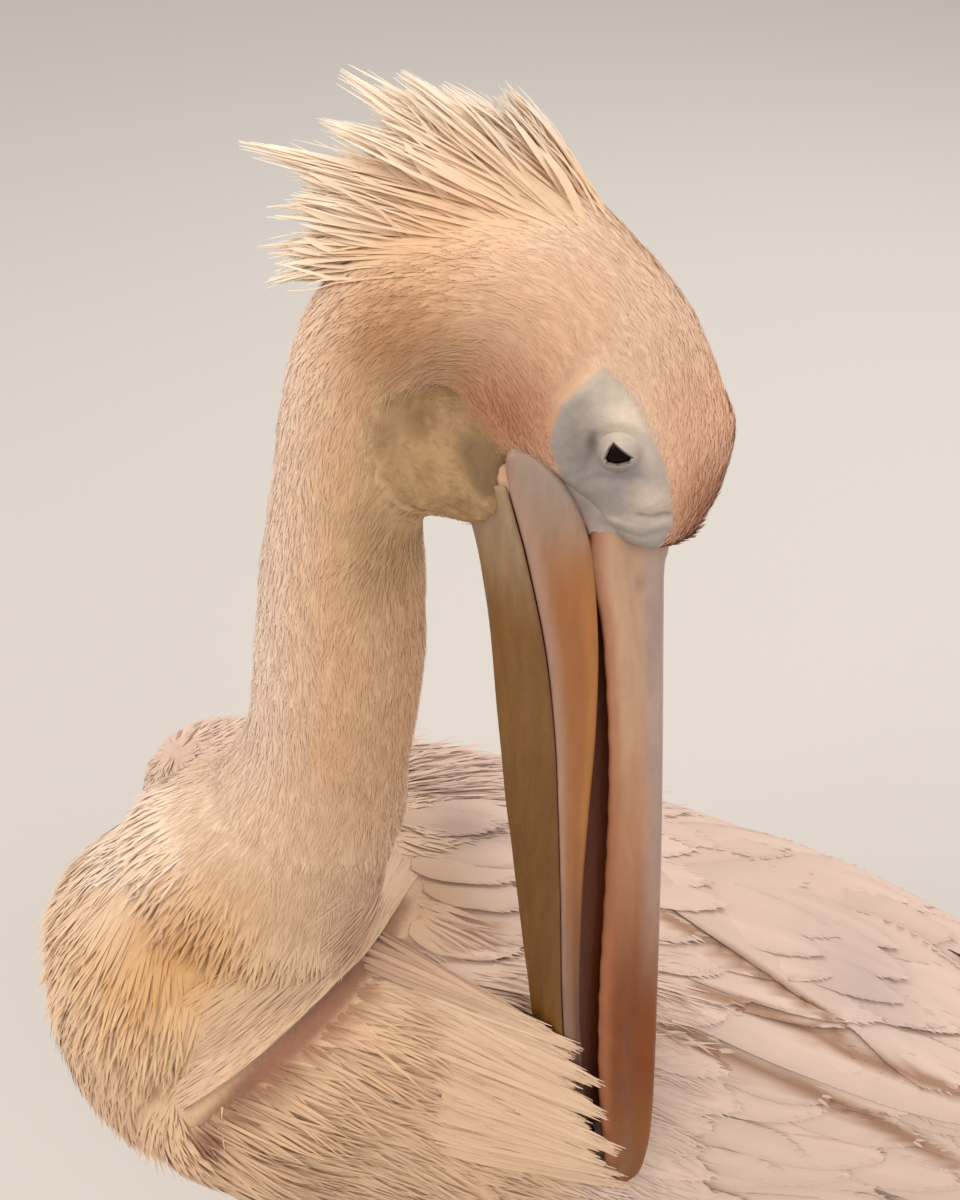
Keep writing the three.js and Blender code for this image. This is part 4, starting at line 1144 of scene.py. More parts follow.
def fans(coat, p, n, d, root, col, count, spread, length, width, h0, h1, k, shape, curl=0.02, jitter=0.05, root_f=0.86, tip_f=1.04, tilt=0.25, bow=0.0, start=None):
    """Each feather is a fan of narrow overlapping blades."""
    length = np.broadcast_to(length, len(p)) * rng.uniform(0.85, 1.15, len(p))
    width = np.broadcast_to(width, len(p))
    b = np.cross(n, d)
    fcol = col * (1 + jitter * rng.normal(size=len(p)))[:, None]
    for j in range(count):
        x = (j - (count - 1) / 2) / max((count - 1) / 2, 1)
        dj = rotate(d, n, np.radians(spread) * x + rng.normal(0, 0.05, len(p)))
        pj = p + b * (x * width * 0.35)[:, None]
        Lj = length * (1 - 0.16 * x * x) * rng.uniform(0.9, 1.08, len(p))
        v = blades(pj, n, dj, Lj, width, h0, np.broadcast_to(h1, len(p)) * rng.uniform(0.75, 1.12, len(p)), k, shape,
                   curl + rng.normal(0, 0.012, len(p)), tilt * (1 if j % 2 else -1) + rng.normal(0, 0.15, len(p)),
                   bow + rng.normal(0, 0.05, len(p)))
        c = shade(fcol, v.shape[:3], root_f, tip_f, 0.03)
        if start is not None:                                     # the root keeps the colour of its own place
            g = np.interp(np.linspace(0, 1, v.shape[1]), [0.1, 0.55], [1, 0])[None, :, None, None]
            c = c * (1 - g) + start[:, None, None] * g
        coat.add(v, c, root, n)


FEATHER = material("feather", rough=0.75, spec=0.12, sheen=0.12, noise=[(180, (1, 1, 1), 0.97, 1.02)])
few = 1.0
grow = 1 / math.sqrt(few)
LB = {nme: i for i, (nme, _, _) in enumerate(LABELS)}


def zone_mask(*names):
    return np.isin(MID_LABEL, [LB[x] for x in names])


def bare(p, margin=0.0):
    """True on the bare face and throat."""
    u, w, s = head_local(p)
    f = (poly_sdf(np.column_stack([u, w]), FACE) < margin) & (np.abs(s) > 4) & (head.param(p)[2] < 12)
    return f | (bare_throat(p) > 0.5)



def clump(p, n, d, spacing, reach, amount, seed):
    """Turns the directions d so that neighbouring feathers meet in pointed locks."""
    cell = np.floor(p / spacing + seed).astype(np.int64)
    _, first = np.unique((cell[:, 0] * 73856093) ^ (cell[:, 1] * 19349663) ^ (cell[:, 2] * 83492791), return_index=True)
    kd = KDTree(len(first))
    for i, j in enumerate(first.tolist()):
        kd.insert(p[j].tolist(), i)
    kd.balance()
    near = A([kd.find(q)[1] for q in p.tolist()])
    goal = (p + d * reach)[first][near]
    e = goal - p
    e = norm(e - n * dot(e, n)[:, None])
    ok = (dot(e, d) > 0.5)[:, None]
    return norm(np.where(ok, d * (1 - amount) + e * amount, d))


# plush of the head and neck: a flat bed of short barbs, and finer loose ones that soften the outline
def plush(name, mask, spacing, length, width, lift, fuzz_gap, fuzz_length, fuzz_lift):
    coat = Coat(name, FEATHER, own=0.04)
    for layer, gap in ((0, spacing), (1, fuzz_gap)):
        p, n = sample(mask, gap * grow)
        k = ~bare(p) | ((layer == 1) & (throat_edge(p) > 0) & (throat_edge(p) < 7 * rng.random(len(p)) ** 1.5))
        p, n = p[k], n[k]
        lb, t, ang, d = survey(p, n)
        d = rotate(d, n, 0.16 * ripple(p, 14) + rng.normal(0, 0.12 + 0.1 * layer, len(p)))
        d = clump(p, n, d, 11, 15, 0.35, 0.37)
        u, w, s = head_local(p)
        sd = poly_sdf(np.column_stack([u, w]), FACE)
        by_face = (np.abs(s) > 4) & (head.param(p)[2] < 8)
        small = np.where(by_face, smooth(-1, 12, sd), 1.0)
        size = (0.5 + 0.5 * small) * (1 - 0.45 * smooth(-9, -1, throat_edge(p))) * rng.uniform(0.75, 1.25, len(p))
        if layer == 0:
            v = blades(p - n * 0.25, n, d, length * size, width * grow, 0.0, lift * size, 3, (0.75, 1.0, 0.2), 0.0, rng.normal(0, 0.08, len(p)))
        else:
            v = blades(p - n * 0.25, n, d, fuzz_length * size, 0.42 * grow, 0.0, fuzz_lift * size, 3, (1.0, 0.9, 0.2), 0.01 + rng.normal(0, 0.02, len(p)),
                       rng.normal(0, 0.25, len(p)))
        tone = plumage_colour(p)
        stained = smooth(-7, 2, throat_edge(p))[:, None] * 0.7
        tone = tone * (1 - stained) + lin((180, 148, 110)) * stained
        coat.add(v, shade(tone, v.shape[:3], 0.99, 1.01, 0.008 + 0.008 * layer), unwrap(lb, t, ang), n)
    coat.build()


neck_up = (zone_mask("neck") & (MID_T > 0.25)) | zone_mask("throat")
FOLD = A([(44, -51, 492), (76, -69, 490), (103, -95, 480), (126, -125, 467), (136, -154, 449)], float)   # edge of the neck's foot on the shoulder
STRIP = line_distance(TRI_MID, FOLD) < 13
plush("coat_neck", neck_up, 2.25, 11.5, 3.1, 0.45, 1.95, 9.0, 1.35)
plush("coat_head", zone_mask("head"), 1.75, 8.0, 2.3, 0.3, 1.65, 6.0, 0.95)

# foot of the neck and breast: silky pointed feathers in locks
m = (zone_mask("neck") & (MID_T <= 0.36)) | (zone_mask("trunk") & (TRI_MID[:, 1] < -110))
coat = Coat("coat_breast", FEATHER, own=0.04)
for gap, ln, ht, sd in ((4.7, 1.0, 1.2, 0.13), (5.8, 1.3, 2.6, 0.71)):
    p, n = sample(m, gap * grow)
    lb, t, ang, d = survey(p, n)
    tn = neck.param(p)[0]
    d = rotate(d, n, 0.25 * ripple(p, 22) + rng.normal(0, 0.08, len(p)))
    d = clump(p, n, d, 19, 46, 0.4, sd)
    up = np.where(lb == LB["neck"], smooth(0.36, 0.2, tn), 1.0)
    fans(coat, p - n * 0.5, n, d, unwrap(lb, t, ang), plumage_colour(p + d * 13), 3, 6, (13 + 23 * up) * ln, 3.0 * grow, 0, (0.42 + 0.24 * ht * up), 5,
         (0.6, 1.0, 0.95, 0.65, 0.06), 0.0, 0.015, 0.99, 1.01, 0.03, start=plumage_colour(p))
coat.build()

# small coverts over the shoulders and front of the back
top = (TRI_MID[:, 2] > 330)
m = (zone_mask("wing_l", "wing_r") & (TRI_MID[:, 1] < 20)) | (zone_mask("trunk") & (TRI_MID[:, 1] >= -110) & (TRI_MID[:, 1] < 20) & top)
m &= ~STRIP
p, n = sample(m, 5.2 * grow)
lb, t, ang, d = survey(p, n)
d = rotate(d, n, 0.2 * ripple(p, 26, 1.0) + rng.normal(0, 0.08, len(p)))
d = clump(p, n, d, 15, 26, 0.5, 0.21)
coat = Coat("coat_shoulder", FEATHER, own=0.08)
front = smooth(-0.1, -0.6, n[:, 1]) * np.isin(lb, [LB["wing_l"], LB["wing_r"]])
fans(coat, p - n * 0.5, n, d, unwrap(lb, t, ang), plumage_colour(p + d * 10), 4, 14, 28 - 14 * front, 3.2 * grow, 0, 1.5 - 0.6 * front, 5, (0.6, 1.0, 0.95, 0.65, 0.08), 0.002, 0.018, 0.99, 1.01, 0.04, start=plumage_colour(p))
coat.build()

# belly, flanks, thighs and under the wings
END = zone_mask("wing_l", "wing_r") & (TRI_MID[:, 1] > 320)
OUTER = (TRI_MID[:, 0] * np.where(MID_LABEL == LB["wing_r"], -1, 1) > 60) & zone_mask("wing_l", "wing_r")
VANED = (TRI_MID[:, 1] >= 20) & (OUTER | (zone_mask("trunk", "wing_l", "wing_r") & (TRI_MID[:, 2] > 375 - 0.25 * TRI_MID[:, 1])))
m = (zone_mask("trunk") & (TRI_MID[:, 1] >= -110) & ~((TRI_MID[:, 1] < 20) & top)) | zone_mask("thigh_l", "thigh_r") | (
    zone_mask("wing_l", "wing_r") & (TRI_MID[:, 1] >= 20))
m &= ~(VANED | END)
p, n = sample(m, 7.5 * grow)
lb, t, ang, d = survey(p, n)
d = rotate(d, n, 0.2 * ripple(p, 30, 2.0) + rng.normal(0, 0.1, len(p)))
d = clump(p, n, d, 20, 34, 0.45, 0.55)
coat = Coat("coat_body", FEATHER, own=0.12)
thin = np.isin(lb, [LB["thigh_l"], LB["thigh_r"]])
fans(coat, p - n * 0.5, n, d, unwrap(lb, t, ang), plumage_colour(p), 4, 14, np.where(thin, 18, 30), np.where(thin, 2.6, 3.6) * grow, 0,
     np.where(thin, 1.8, 2.6), 5, (0.6, 1.0, 0.95, 0.65, 0.08), 0.0, 0.02, 0.96, 1.02, 0.06)
coat.build()


# ------------------------------------------------------------------ long feathers
def nearest(p):
    out_p, out_n = np.empty_like(p), np.empty_like(p)
    for i, q in enumerate(p.tolist()):
        co, _, idx, _ = TREE.find_nearest(q)
        out_p[i] = co
        out_n[i] = SKN[SKT[idx]].mean(0)
    return out_p, norm(out_n)


VANE = (0.35, 0.75, 0.92, 1.0, 1.0, 0.98, 0.93, 0.8, 0.52, 0.1)


def vane_grid(mid, nrm, dirs, width, k, c, prof, camber, roll=0.0):
    """Feather surface round a shaft: mid, nrm, dirs are (N, K, 3); roll lifts the edge on the n x d side."""
    cs = np.linspace(-1, 1, c)
    w = width[:, None] / 2 * np.interp(np.linspace(0, 1, k), np.linspace(0, 1, len(prof)), prof)[None]
    b = np.cross(nrm, dirs)
    roll = np.broadcast_to(roll, len(width))[:, None, None]
    return (mid[:, :, None] + b[:, :, None] * (w[..., None] * cs)[..., None]
            + nrm[:, :, None] * (w[..., None] * (roll * cs - camber * cs ** 2))[..., None])


def vane_colour(base, k, c, edge, root_f=0.9, tip_f=1.03, jitter=0.02, streak=0.02):
    """base is (N, 3) or (N, K, C, 3)."""
    n = len(base)
    cs = np.abs(np.linspace(-1, 1, c))
    # root_f darkens the root and tip_f lightens the tip, painted shade under the overlapping feathers; edge darkens
    # both edges, painted shade in the gaps between them
    f = np.interp(np.linspace(0, 1, k), [0, 0.5, 1], [root_f, 1.0, tip_f])[None, :, None] * (1 - edge * cs ** 3)[None, None]
    f = f * (1 + jitter * rng.normal(size=n))[:, None, None] * (1 + streak * rng.normal(size=(n, 1, c)))
    if base.ndim == 2:
        base = base[:, None, None]
    return base * np.broadcast_to(f, (n, k, c))[..., None]


def draped(coat, p0, guide, length, width, h0, h1, tone, k=12, c=7, camber=0.04, roll=0.08, edge=0.06, prof=VANE, fringe=2, first=None):
    """Long feathers that follow the skin from their roots; tone(p) gives the colour, roll is signed towards the n x d side."""
    n = len(p0)
    L = np.broadcast_to(length, n).astype(float)
    W = np.broadcast_to(width, n).astype(float)
    roll = np.broadcast_to(roll, n).astype(float)
    p = p0.copy()
    mids, nrms, dirs = [], [], []
    side_turn = rng.normal(0, 0.045, n)
    for i in range(k):
        q, nn = nearest(p)
        if nrms:
            nn = norm(nn + nrms[-1])
        g = guide if guide.ndim == 2 else guide[:, i]
        d = norm(g - nn * dot(g, nn)[:, None])
        d = rotate(d, nn, side_turn * (1 + 1.2 * i / k))
        mids.append(q); nrms.append(nn); dirs.append(d)
        p = q + d * (L / (k - 1))[:, None]
    mid, nrm, dr = (np.stack(x, 1) for x in (mids, nrms, dirs))
    for _ in range(3):
        nrm[:, 1:-1] = norm(nrm[:, :-2] + nrm[:, 1:-1] * 2 + nrm[:, 2:])
    t = np.linspace(0, 1, k)[None]
    lift = np.broadcast_to(h0, n)[:, None] + (np.broadcast_to(h1, n) * rng.uniform(0.92, 1.08, n) - h0)[:, None] * t ** 0.8
    v = vane_grid(mid + nrm * lift[..., None], nrm, dr, W, k, c, prof, camber, roll)
    cs = np.linspace(-1, 1, c)
    half = W[:, None] / 2 * np.interp(t[0], np.linspace(0, 1, len(prof)), prof)[None]
    want = lift[..., None] + half[..., None] * (roll[:, None, None] * cs - camber * cs ** 2)
    flat = v.reshape(-1, 3)
    q, nn = nearest(flat)
    gap = dot(flat - q, nn)
    side = np.linalg.norm(flat - q - nn * gap[:, None], axis=1)
    fix = np.where(side > 3.0, 0, np.maximum(want.reshape(-1), 0.2) - gap)
    v = (flat + nn * fix[:, None]).reshape(n, k, c, 3)
    lb, tt, ang, _ = survey(p0, nearest(p0)[1])
    root = unwrap(lb, tt, ang)
    col = vane_colour(tone(v.reshape(-1, 3)).reshape(v.shape), k, c, edge)
    coat.add(v, col, root)
    base = col.mean((1, 2))
    if fringe:
        # loose barbs along the outer half of each edge and round the tip
        ks = np.arange(int(k * 0.35), k - 1)
        for side in (0, c - 1):
            for j in ks:
                for r in range(fringe):
                    f = rng.random(n)[:, None]
                    pt = v[:, j, side] * (1 - f) + v[:, j + 1, side] * f
                    out = norm(v[:, j, side] - v[:, j, c // 2])
                    ahead = norm(v[:, j + 1, c // 2] - v[:, j - 1, c // 2])
                    d = norm(ahead + out * (0.08 + 0.18 * (j / k) ** 3) + rng.normal(0, 0.02, (n, 3)))
                    nn2 = nrm[:, j]
                    d = norm(d - nn2 * dot(d, nn2)[:, None])
                    bl = blades(pt - d * 4.0 - out * 0.8, nn2, d, rng.uniform(7, 10, n), 1.9, 0.05, 0.10, 3, (0.7, 1.0, 0.1), 0.0, rng.normal(0, 0.08, n))
                    coat.add(bl, shade(col[:, j, side], bl.shape[:3], 1.0, 1.0, 0.01), root)
    return v


def cast(origin, direction):
    out = []
    for o in origin:
        co, n, idx, _ = TREE.ray_cast(o.tolist(), direction.tolist())
        out.append((np.nan,) * 3 if co is None else tuple(co))
    return A(out, float)


VANEMAT = material("vane", rough=0.68, spec=0.15, sheen=0.08, noise=[(90, (1, 0.12, 1), 0.975, 1.02)], bump=[(900, (1, 0.06, 0.9), 0.12, 0.0004)])
DARK = lin((54, 45, 42))


def flight_tone(p):
    """White plumage, with the dark flight feathers along the lower rear edge of the folded wing."""
    col = plumage_colour(p)
    y, z = p[:, 1], p[:, 2]
    edge = np.interp(y, [50, 100, 230, 318, 396, 430, 480], [232, 262, 254, 248, 248, 262, 300])
    w = smooth(4, -5, z - edge) * smooth(60, 95, y)
    return col * (1 - w[:, None]) + DARK * w[:, None]


# sides of the wings: coverts above, dark flight feathers along the lower edge
coat_side = Coat("coat_wing_side", VANEMAT, "wing_feathers")
for s in (1, -1):
    for r, y0 in enumerate(np.arange(330, -45, -37.0)):
        st_t = np.interp(y0, wings[s].st[:, 1], np.linspace(0, 1, len(wings[s].st)))
        angs = np.radians(np.arange(-80, 66, 12.0) + (6.0 if r % 2 else 0))
        if s < 0:
            angs = np.pi - angs
        pts = wings[s].point(np.full(len(angs), st_t), angs) + rng.normal(0, 2.0, (len(angs), 3))
        q, nn = nearest(pts)
        low = smooth(0.05, -0.75, np.sin(angs))
        big = smooth(-30, 160, y0)
        draped(coat_side, q, np.tile(A([0.0, 1.0, -0.44]), (len(q), 1)), (58 + 80 * big) * rng.uniform(0.92, 1.08, len(q)), 24 + 9 * big, 0.6, 4.5 + 1.3 * big,
               flight_tone, k=11, roll=0.09 * s)
coat_side.build()

# primaries: long, dark, closed over one another to the wing tip
coat_prim = Coat("coat_primaries", VANEMAT, "wing_feathers")
for s in (1, -1):
    m = 13
    f = np.linspace(0, 1, m)
    ang = np.radians(-75 + 165 * f)
    if s < 0:
        ang = np.pi - ang
    for t0, t1, wid, out in ((0.74, 1.0, 17.0, 0.0), (0.64, 0.90, 19.0, 1.6)):
        r0 = wings[s].point(np.full(m, t0), ang, -3)
        tip = wings[s].point(t1 - 0.08 * np.abs(f * 2 - 1), ang, out)
        k = 12
        t = np.linspace(0, 1, k)[None, :, None]
        mid = r0[:, None] * (1 - t) + tip[:, None] * t
        mid = mid.reshape(-1, 3)
        q, nq = nearest(mid)
        gap = dot(mid - q, nq)
        mid = (mid + nq * np.maximum(np.tile(np.linspace(-1.0, 1.8 + out, k), m) - gap, 0)[:, None]).reshape(m, k, 3)
        d = norm(np.gradient(mid, axis=1))
        nn = nq.reshape(m, k, 3)
        nn = norm(nn - d * dot(nn, d)[..., None])
        v = vane_grid(mid, nn, d, np.full(m, wid), k, 5, VANE, 0.12, 0.10 * s)
        coat_prim.add(v, vane_colour(np.tile(DARK, (m, 1)), k, 5, 0.0, 1.0, 1.15), unwrap(np.full(m, LB["wing_l" if s > 0 else "wing_r"]), np.full(m, 0.7), ang))
coat_prim.build()

# back: rows of long satin feathers, each over the roots of the next
coat_back = Coat("coat_back", VANEMAT, "wing_feathers")
for r, y0 in enumerate(np.arange(330, -40, -40.0)):
    big = smooth(-20, 140, y0)
    step = 14 + 5 * big
    half_w = np.interp(y0, [-50, 100, 250, 340], [132, 132, 108, 76])
    xs = np.arange(-half_w, half_w, step) + (step / 2 if r % 2 else 0)
    o = np.column_stack([xs + rng.normal(0, 2, len(xs)), y0 + rng.normal(0, 9, len(xs)), np.full(len(xs), 560.0)])
    hit = cast(o, A([0, 0, -1.0]))
    hit = hit[~np.isnan(hit[:, 0])]
    hit = hit[(neck.param(hit)[2] > 4) & (hit[:, 2] < 512)]
    lean = np.clip(hit[:, 0] / 110, -1, 1)
    g = np.column_stack([0.24 * lean, np.ones(len(hit)), np.full(len(hit), -0.5)])
    draped(coat_back, hit, g, (62 + 92 * big) * rng.uniform(0.9, 1.1, len(hit)), 22 + 11 * big, 0.8, 5.2 + 1.7 * big, plumage_colour, k=12,
           roll=-0.10 * np.sign(hit[:, 0]))
# the longest scapulars, whose raised edges stand over gap lines painted in shade
for s in (1, -1):
    for line, wide, up in ((LINES[0], 46, 7.2), (LINES[1], 44, 7.5), (LINES[2], 34, 7.2)):
        ln = densify(np.column_stack([line, line[:, :1]]), 6)[:, :3]
        seg = np.r_[0, np.cumsum(np.linalg.norm(np.diff(ln, axis=0), axis=1))]
        at = np.linspace(0, seg[-1], 12)
        edge_path = np.stack([np.interp(at, seg, ln[:, i]) for i in range(3)], 1)
        dirs = norm(np.gradient(edge_path, axis=0))
        q, nn = nearest(edge_path)
        b = norm(np.cross(nn, dirs))                               # towards the middle of the back or away from it
        b = b * np.where(b[:, :1] > 0, -1, 1)
        start = edge_path[0] + b[0] * wide * 0.5 - dirs[0] * 26
        g = np.vstack([dirs[:1], dirs[:-1]])
        m = A([s, 1, 1])
        draped(coat_back, (start * m)[None], (g * m)[None], seg[-1] + 40, wide, 2.5, up, plumage_colour, k=12, c=9, roll=-0.13 * s, edge=0.10, fringe=3)
coat_back.build()

# silky plumes over the front of the wings, in long locks
coat_silk = Coat("coat_silk", FEATHER, own=0.15)
for s, gap in ((1, 4.6), (-1, 7.0)):
    m = zone_mask("wing_l" if s > 0 else "wing_r", "trunk") & (TRI_MID[:, 0] * s > 38) & (TRI_MID[:, 1] > -150) & (TRI_MID[:, 1] < 85) & (TRI_MID[:, 2] > 350) & ~STRIP
    p, n = sample(m, gap * grow)
    lb, t, ang, d = survey(p, n)
    d = rotate(d, n, 0.22 * ripple(p, 30, 3.0) + rng.normal(0, 0.05, len(p)))
    d = clump(p, n, d, 20, 58, 0.6, 0.9)
    # root and tip factors 0.92 and 0.99 dim these plumes: painted shade over the side plumes
    fans(coat_silk, p - n * 1.0, n, d, unwrap(lb, t, ang), plumage_colour(p + d * 28), 3, 6, rng.uniform(42, 68, len(p)), 2.0, 0.6, rng.uniform(2.5, 6.0, len(p)), 7,
         (0.3, 0.9, 1.0, 1.0, 0.9, 0.6, 0.06), -0.008, 0.035, 0.92, 0.99, 0.06, start=plumage_colour(p))


def lock(coat, root, tip, count, spread, width, base, bulge=4.0, k=8, frizz=2.0, prof=(0.6, 1, 1, 0.95, 0.85, 0.65, 0.4, 0.1)):
    """A pointed lock: plumes from round the root that meet near the tip."""
    r0 = root + rng.normal(0, spread, (count, 3))
    r0, nn = nearest(r0)
    t1 = root + (tip - root) * rng.uniform(0.72, 1.02, count)[:, None] + rng.normal(0, frizz, (count, 3))
    t = np.linspace(0, 1, k)[None, :, None]
    ctrl = (r0 + t1) / 2 + nn * bulge
    path = r0[:, None] * (1 - t) ** 2 + 2 * ctrl[:, None] * t * (1 - t) + t1[:, None] * t ** 2
    dr = norm(np.gradient(path, axis=1))
    up = np.broadcast_to(nn[:, None], path.shape)
    up = norm(up - dr * dot(up, dr)[..., None])
    v = vane_grid(path, up, dr, width * rng.uniform(0.8, 1.2, count), k, 3, prof, 0.15, rng.normal(0, 0.15, count))
    lb, tt, ang, _ = survey(r0, nn)
    coat.add(v, vane_colour(np.broadcast_to(base, (count, 3)), k, 3, 0.02, 0.97, 1.02, 0.025, 0.02), unwrap(lb, tt, ang), nn)


# locks lapping the side of the bill tip and the end of the pouch
WARM = lin((216, 186, 160))
LAP_ROOT = A([(76, -32, 481), (93, -10, 471), (99, -2, 466), (104, 1, 461), (110, 3, 453), (116, 5, 445), (121, 8, 436), (127, 11, 425), (131, 13, 412), (136, 14, 398), (139, 18, 386), (141, 26, 368)], float)
TUFTS = A([-0.04, 0.08, 0.21, 0.31, 0.47, 0.55, 0.70, 0.79, 0.93, 1.04, 1.16, 1.27])
TUFT_REACH = A([0.90, 0.98, 0.88, 1.01, 0.84, 0.98, 0.87, 1.03, 0.92, 0.97, 0.95])
LAP_TIP = A([(124, 43, 489), (129, 53, 484), (133, 60, 476), (137, 63, 466), (140, 66, 455), (143, 69, 444), (146, 70, 432), (148, 72, 419), (149, 74, 404), (147, 81, 390), (141, 92, 366)], float)
LAP_OUT = norm(A([0.55, -0.05, 0.83]))
for m, wide, low in ((390, 6.0, 1), (2300, 2.5, 0)):
    s = rng.uniform(-0.04, 1.26, m)
    which = np.clip(np.searchsorted(TUFTS, s) - 1, 0, len(TUFTS) - 2)
    tuft, half_t = (TUFTS[which] + TUFTS[which + 1]) / 2, (TUFTS[which + 1] - TUFTS[which]) / 2
    s1 = s + (tuft + 0.4 * half_t - s) * rng.uniform(0.1, 0.85, m)          # plumes of a tuft meet at its tip
    reach = TUFT_REACH[which] * (1 - 0.22 * np.abs(s - tuft) ** 2 / half_t ** 2 * rng.uniform(0.3, 1.0, m)) * rng.uniform(0.86, 1.03, m)
    grid = np.append(np.linspace(0, 1, len(LAP_TIP) - 2), [1.12, 1.26])
    R = np.stack([np.interp(s - 0.26 * (1 - 0.3 * s), np.append(-0.35, grid), LAP_ROOT[:, i]) for i in range(3)], 1)
    T = np.stack([np.interp(s1, grid, LAP_TIP[:, i]) for i in range(3)], 1)
    base, nb = nearest(R - rng.uniform(0.05, 0.75, m)[:, None] * (T - R) + rng.normal(0, 3.0, (m, 3)))
    f0 = (rng.uniform(0.0, 0.1 if low else 0.5, m) * smooth(0.1, 0.4, s))[:, None, None]
    f1 = (reach * rng.uniform(0.82, 1.0, m) * (0.93 if low else 1.0))[:, None, None]
    k = 9
    t = f0 + (f1 - f0) * np.linspace(0, 1, k)[None, :, None]
    nm = nearest((R * 0.75 + T * 0.25))[1]
    T = T + LAP_OUT * 4.0
    ctrl = R * 0.55 + T * 0.45 + LAP_OUT * rng.uniform(11, 15, m)[:, None]
    path = base[:, None] * (1 - t) ** 2 + 2 * ctrl[:, None] * t * (1 - t) + T[:, None] * t ** 2
    face = norm(nm * 0.5 + A([0.7, -0.1, 0.6]))
    dr = norm(np.gradient(path, axis=1))
    up = norm(face[:, None] - dr * dot(np.broadcast_to(face[:, None], dr.shape), dr)[..., None])
    rise = rng.uniform(-1.2, 0.0, m) if low else rng.uniform(0.1, 1.7, m)
    side = np.cross(up, dr)
    path = path + up * (rise[:, None, None] * np.minimum(1, t * 3)) + side * (rng.normal(0, 1.0, m)[:, None, None] * t ** 2)
    v = vane_grid(path, up, dr, wide * rng.uniform(0.8, 1.2, m), k, 3, (0.4, 0.8, 1, 1, 1, 0.9, 0.7, 0.42, 0.1), 0.05, rng.normal(0, 0.05, m))
    lb, tt, ang, _ = survey(base, nb)
    w = np.interp(t[..., 0], [0, 0.12, 0.9], [0.0, 0.1, 1.0])[..., None, None]
    a = (plumage_colour(base) * 0.6 + plumage_colour(base + norm(T - base) * 26) * 0.4)[:, None, None]
    coat_silk.add(v, vane_colour(np.broadcast_to(a * (1 - w) + WARM * w, (m, k, 3, 3)), k, 3, 0.0, 0.98, 1.01, 0.025, 0.01), unwrap(lb, tt, ang), face)
# loose pointed plumes that break the outline of the breast
for a, b in (((46, -189, 541), (36, -210, 552)), ((56, -181, 545), (46, -201, 560)), ((61, -171, 551), (53, -189, 566)), ((40, -196, 538), (26, -215, 545)),
             ((52, -197, 532), (44, -217, 540)), ((30, -200, 533), (12, -216, 540)), ((64, -160, 556), (60, -178, 570))):
    p, n = nearest(np.tile(A(a, float), (16, 1)) + rng.normal(0, 5.0, (16, 3)))
    lb, t, ang, d = survey(p, n)
    v = blades(p - n * 0.5, n, rotate(d, n, rng.normal(0, 0.15, 16)), rng.uniform(14, 24, 16), 1.1, 0.0, rng.uniform(2.5, 6.5, 16), 5, (0.8, 1, 0.8, 0.5, 0.1), 0.03)
    coat_silk.add(v, shade(np.tile(lin((238, 222, 206)), (16, 1)), v.shape[:3], 0.98, 1.02, 0.02), unwrap(lb, t, ang), n)
# the side of the neck's foot, rounded out where it rests on the shoulder
seg = np.linspace(0, 1, len(FOLD))
m = 2600


def on_fold(a):
    return np.stack([np.interp(a, seg, FOLD[:, i]) for i in range(3)], 1)


a = rng.uniform(-0.25, 0.9, m)
b = np.clip(a + rng.uniform(0.14, 0.24, m), -0.2, 1.05)
off = -52 * rng.random(m) ** 1.9 + 3
near_edge = smooth(-40, -4, off) * smooth(-0.25, 0.1, a) * smooth(1.0, 0.8, a)
ends = []
for q, h in ((a, -0.8 + 2.6 * near_edge), (b, 0.6 + 4.4 * near_edge * rng.uniform(0.4, 1.0, m))):
    pt = on_fold(np.clip(q, 0, 1)) + (q - np.clip(q, 0, 1))[:, None] * np.where((q < 0)[:, None], (FOLD[1] - FOLD[0]) * 4, (FOLD[-1] - FOLD[-2]) * 4)
    tg = norm(on_fold(np.clip(q + 0.05, 0.05, 1)) - on_fold(np.clip(q - 0.05, 0, 0.95)))
    q0, nn = nearest(pt)
    across = norm(np.cross(nn, tg))
    across = across * np.where(across[:, 1:2] + across[:, :1] < 0, -1, 1)          # away from the neck
    q1, n1 = nearest(q0 + across * off[:, None])
    ends.append((q1 + n1 * h[:, None], n1))
(r0, n0), (t1, n1) = ends
k = 8
t = np.linspace(0, 1, k)[None, :, None]
ctrl = (r0 + t1) / 2 + (n0 + n1) * 1.2
path = r0[:, None] * (1 - t) ** 2 + 2 * ctrl[:, None] * t * (1 - t) + t1[:, None] * t ** 2
dr = norm(np.gradient(path, axis=1))
up = np.broadcast_to(norm(n0 + n1)[:, None], path.shape)
up = norm(up - dr * dot(up, dr)[..., None])
v = vane_grid(path, up, dr, rng.uniform(1.4, 2.1, m), k, 3, (0.4, 0.9, 1, 1, 0.9, 0.7, 0.4, 0.1), 0.15, rng.normal(0, 0.1, m))
lb, tt, ang, _ = survey(r0, n0)
blend = smooth(0.0, 0.9, near_edge)[:, None]
tone = (plumage_colour(r0) * (1 - blend) + lin((222, 188, 158)) * blend) * (1 + 0.02 * rng.normal(size=m))[:, None]
coat_silk.add(v, vane_colour(tone, k, 3, 0.0, 0.99, 1.01, 0.01, 0.01), unwrap(lb, tt, ang), norm(n0 + n1))
coat_silk.build()

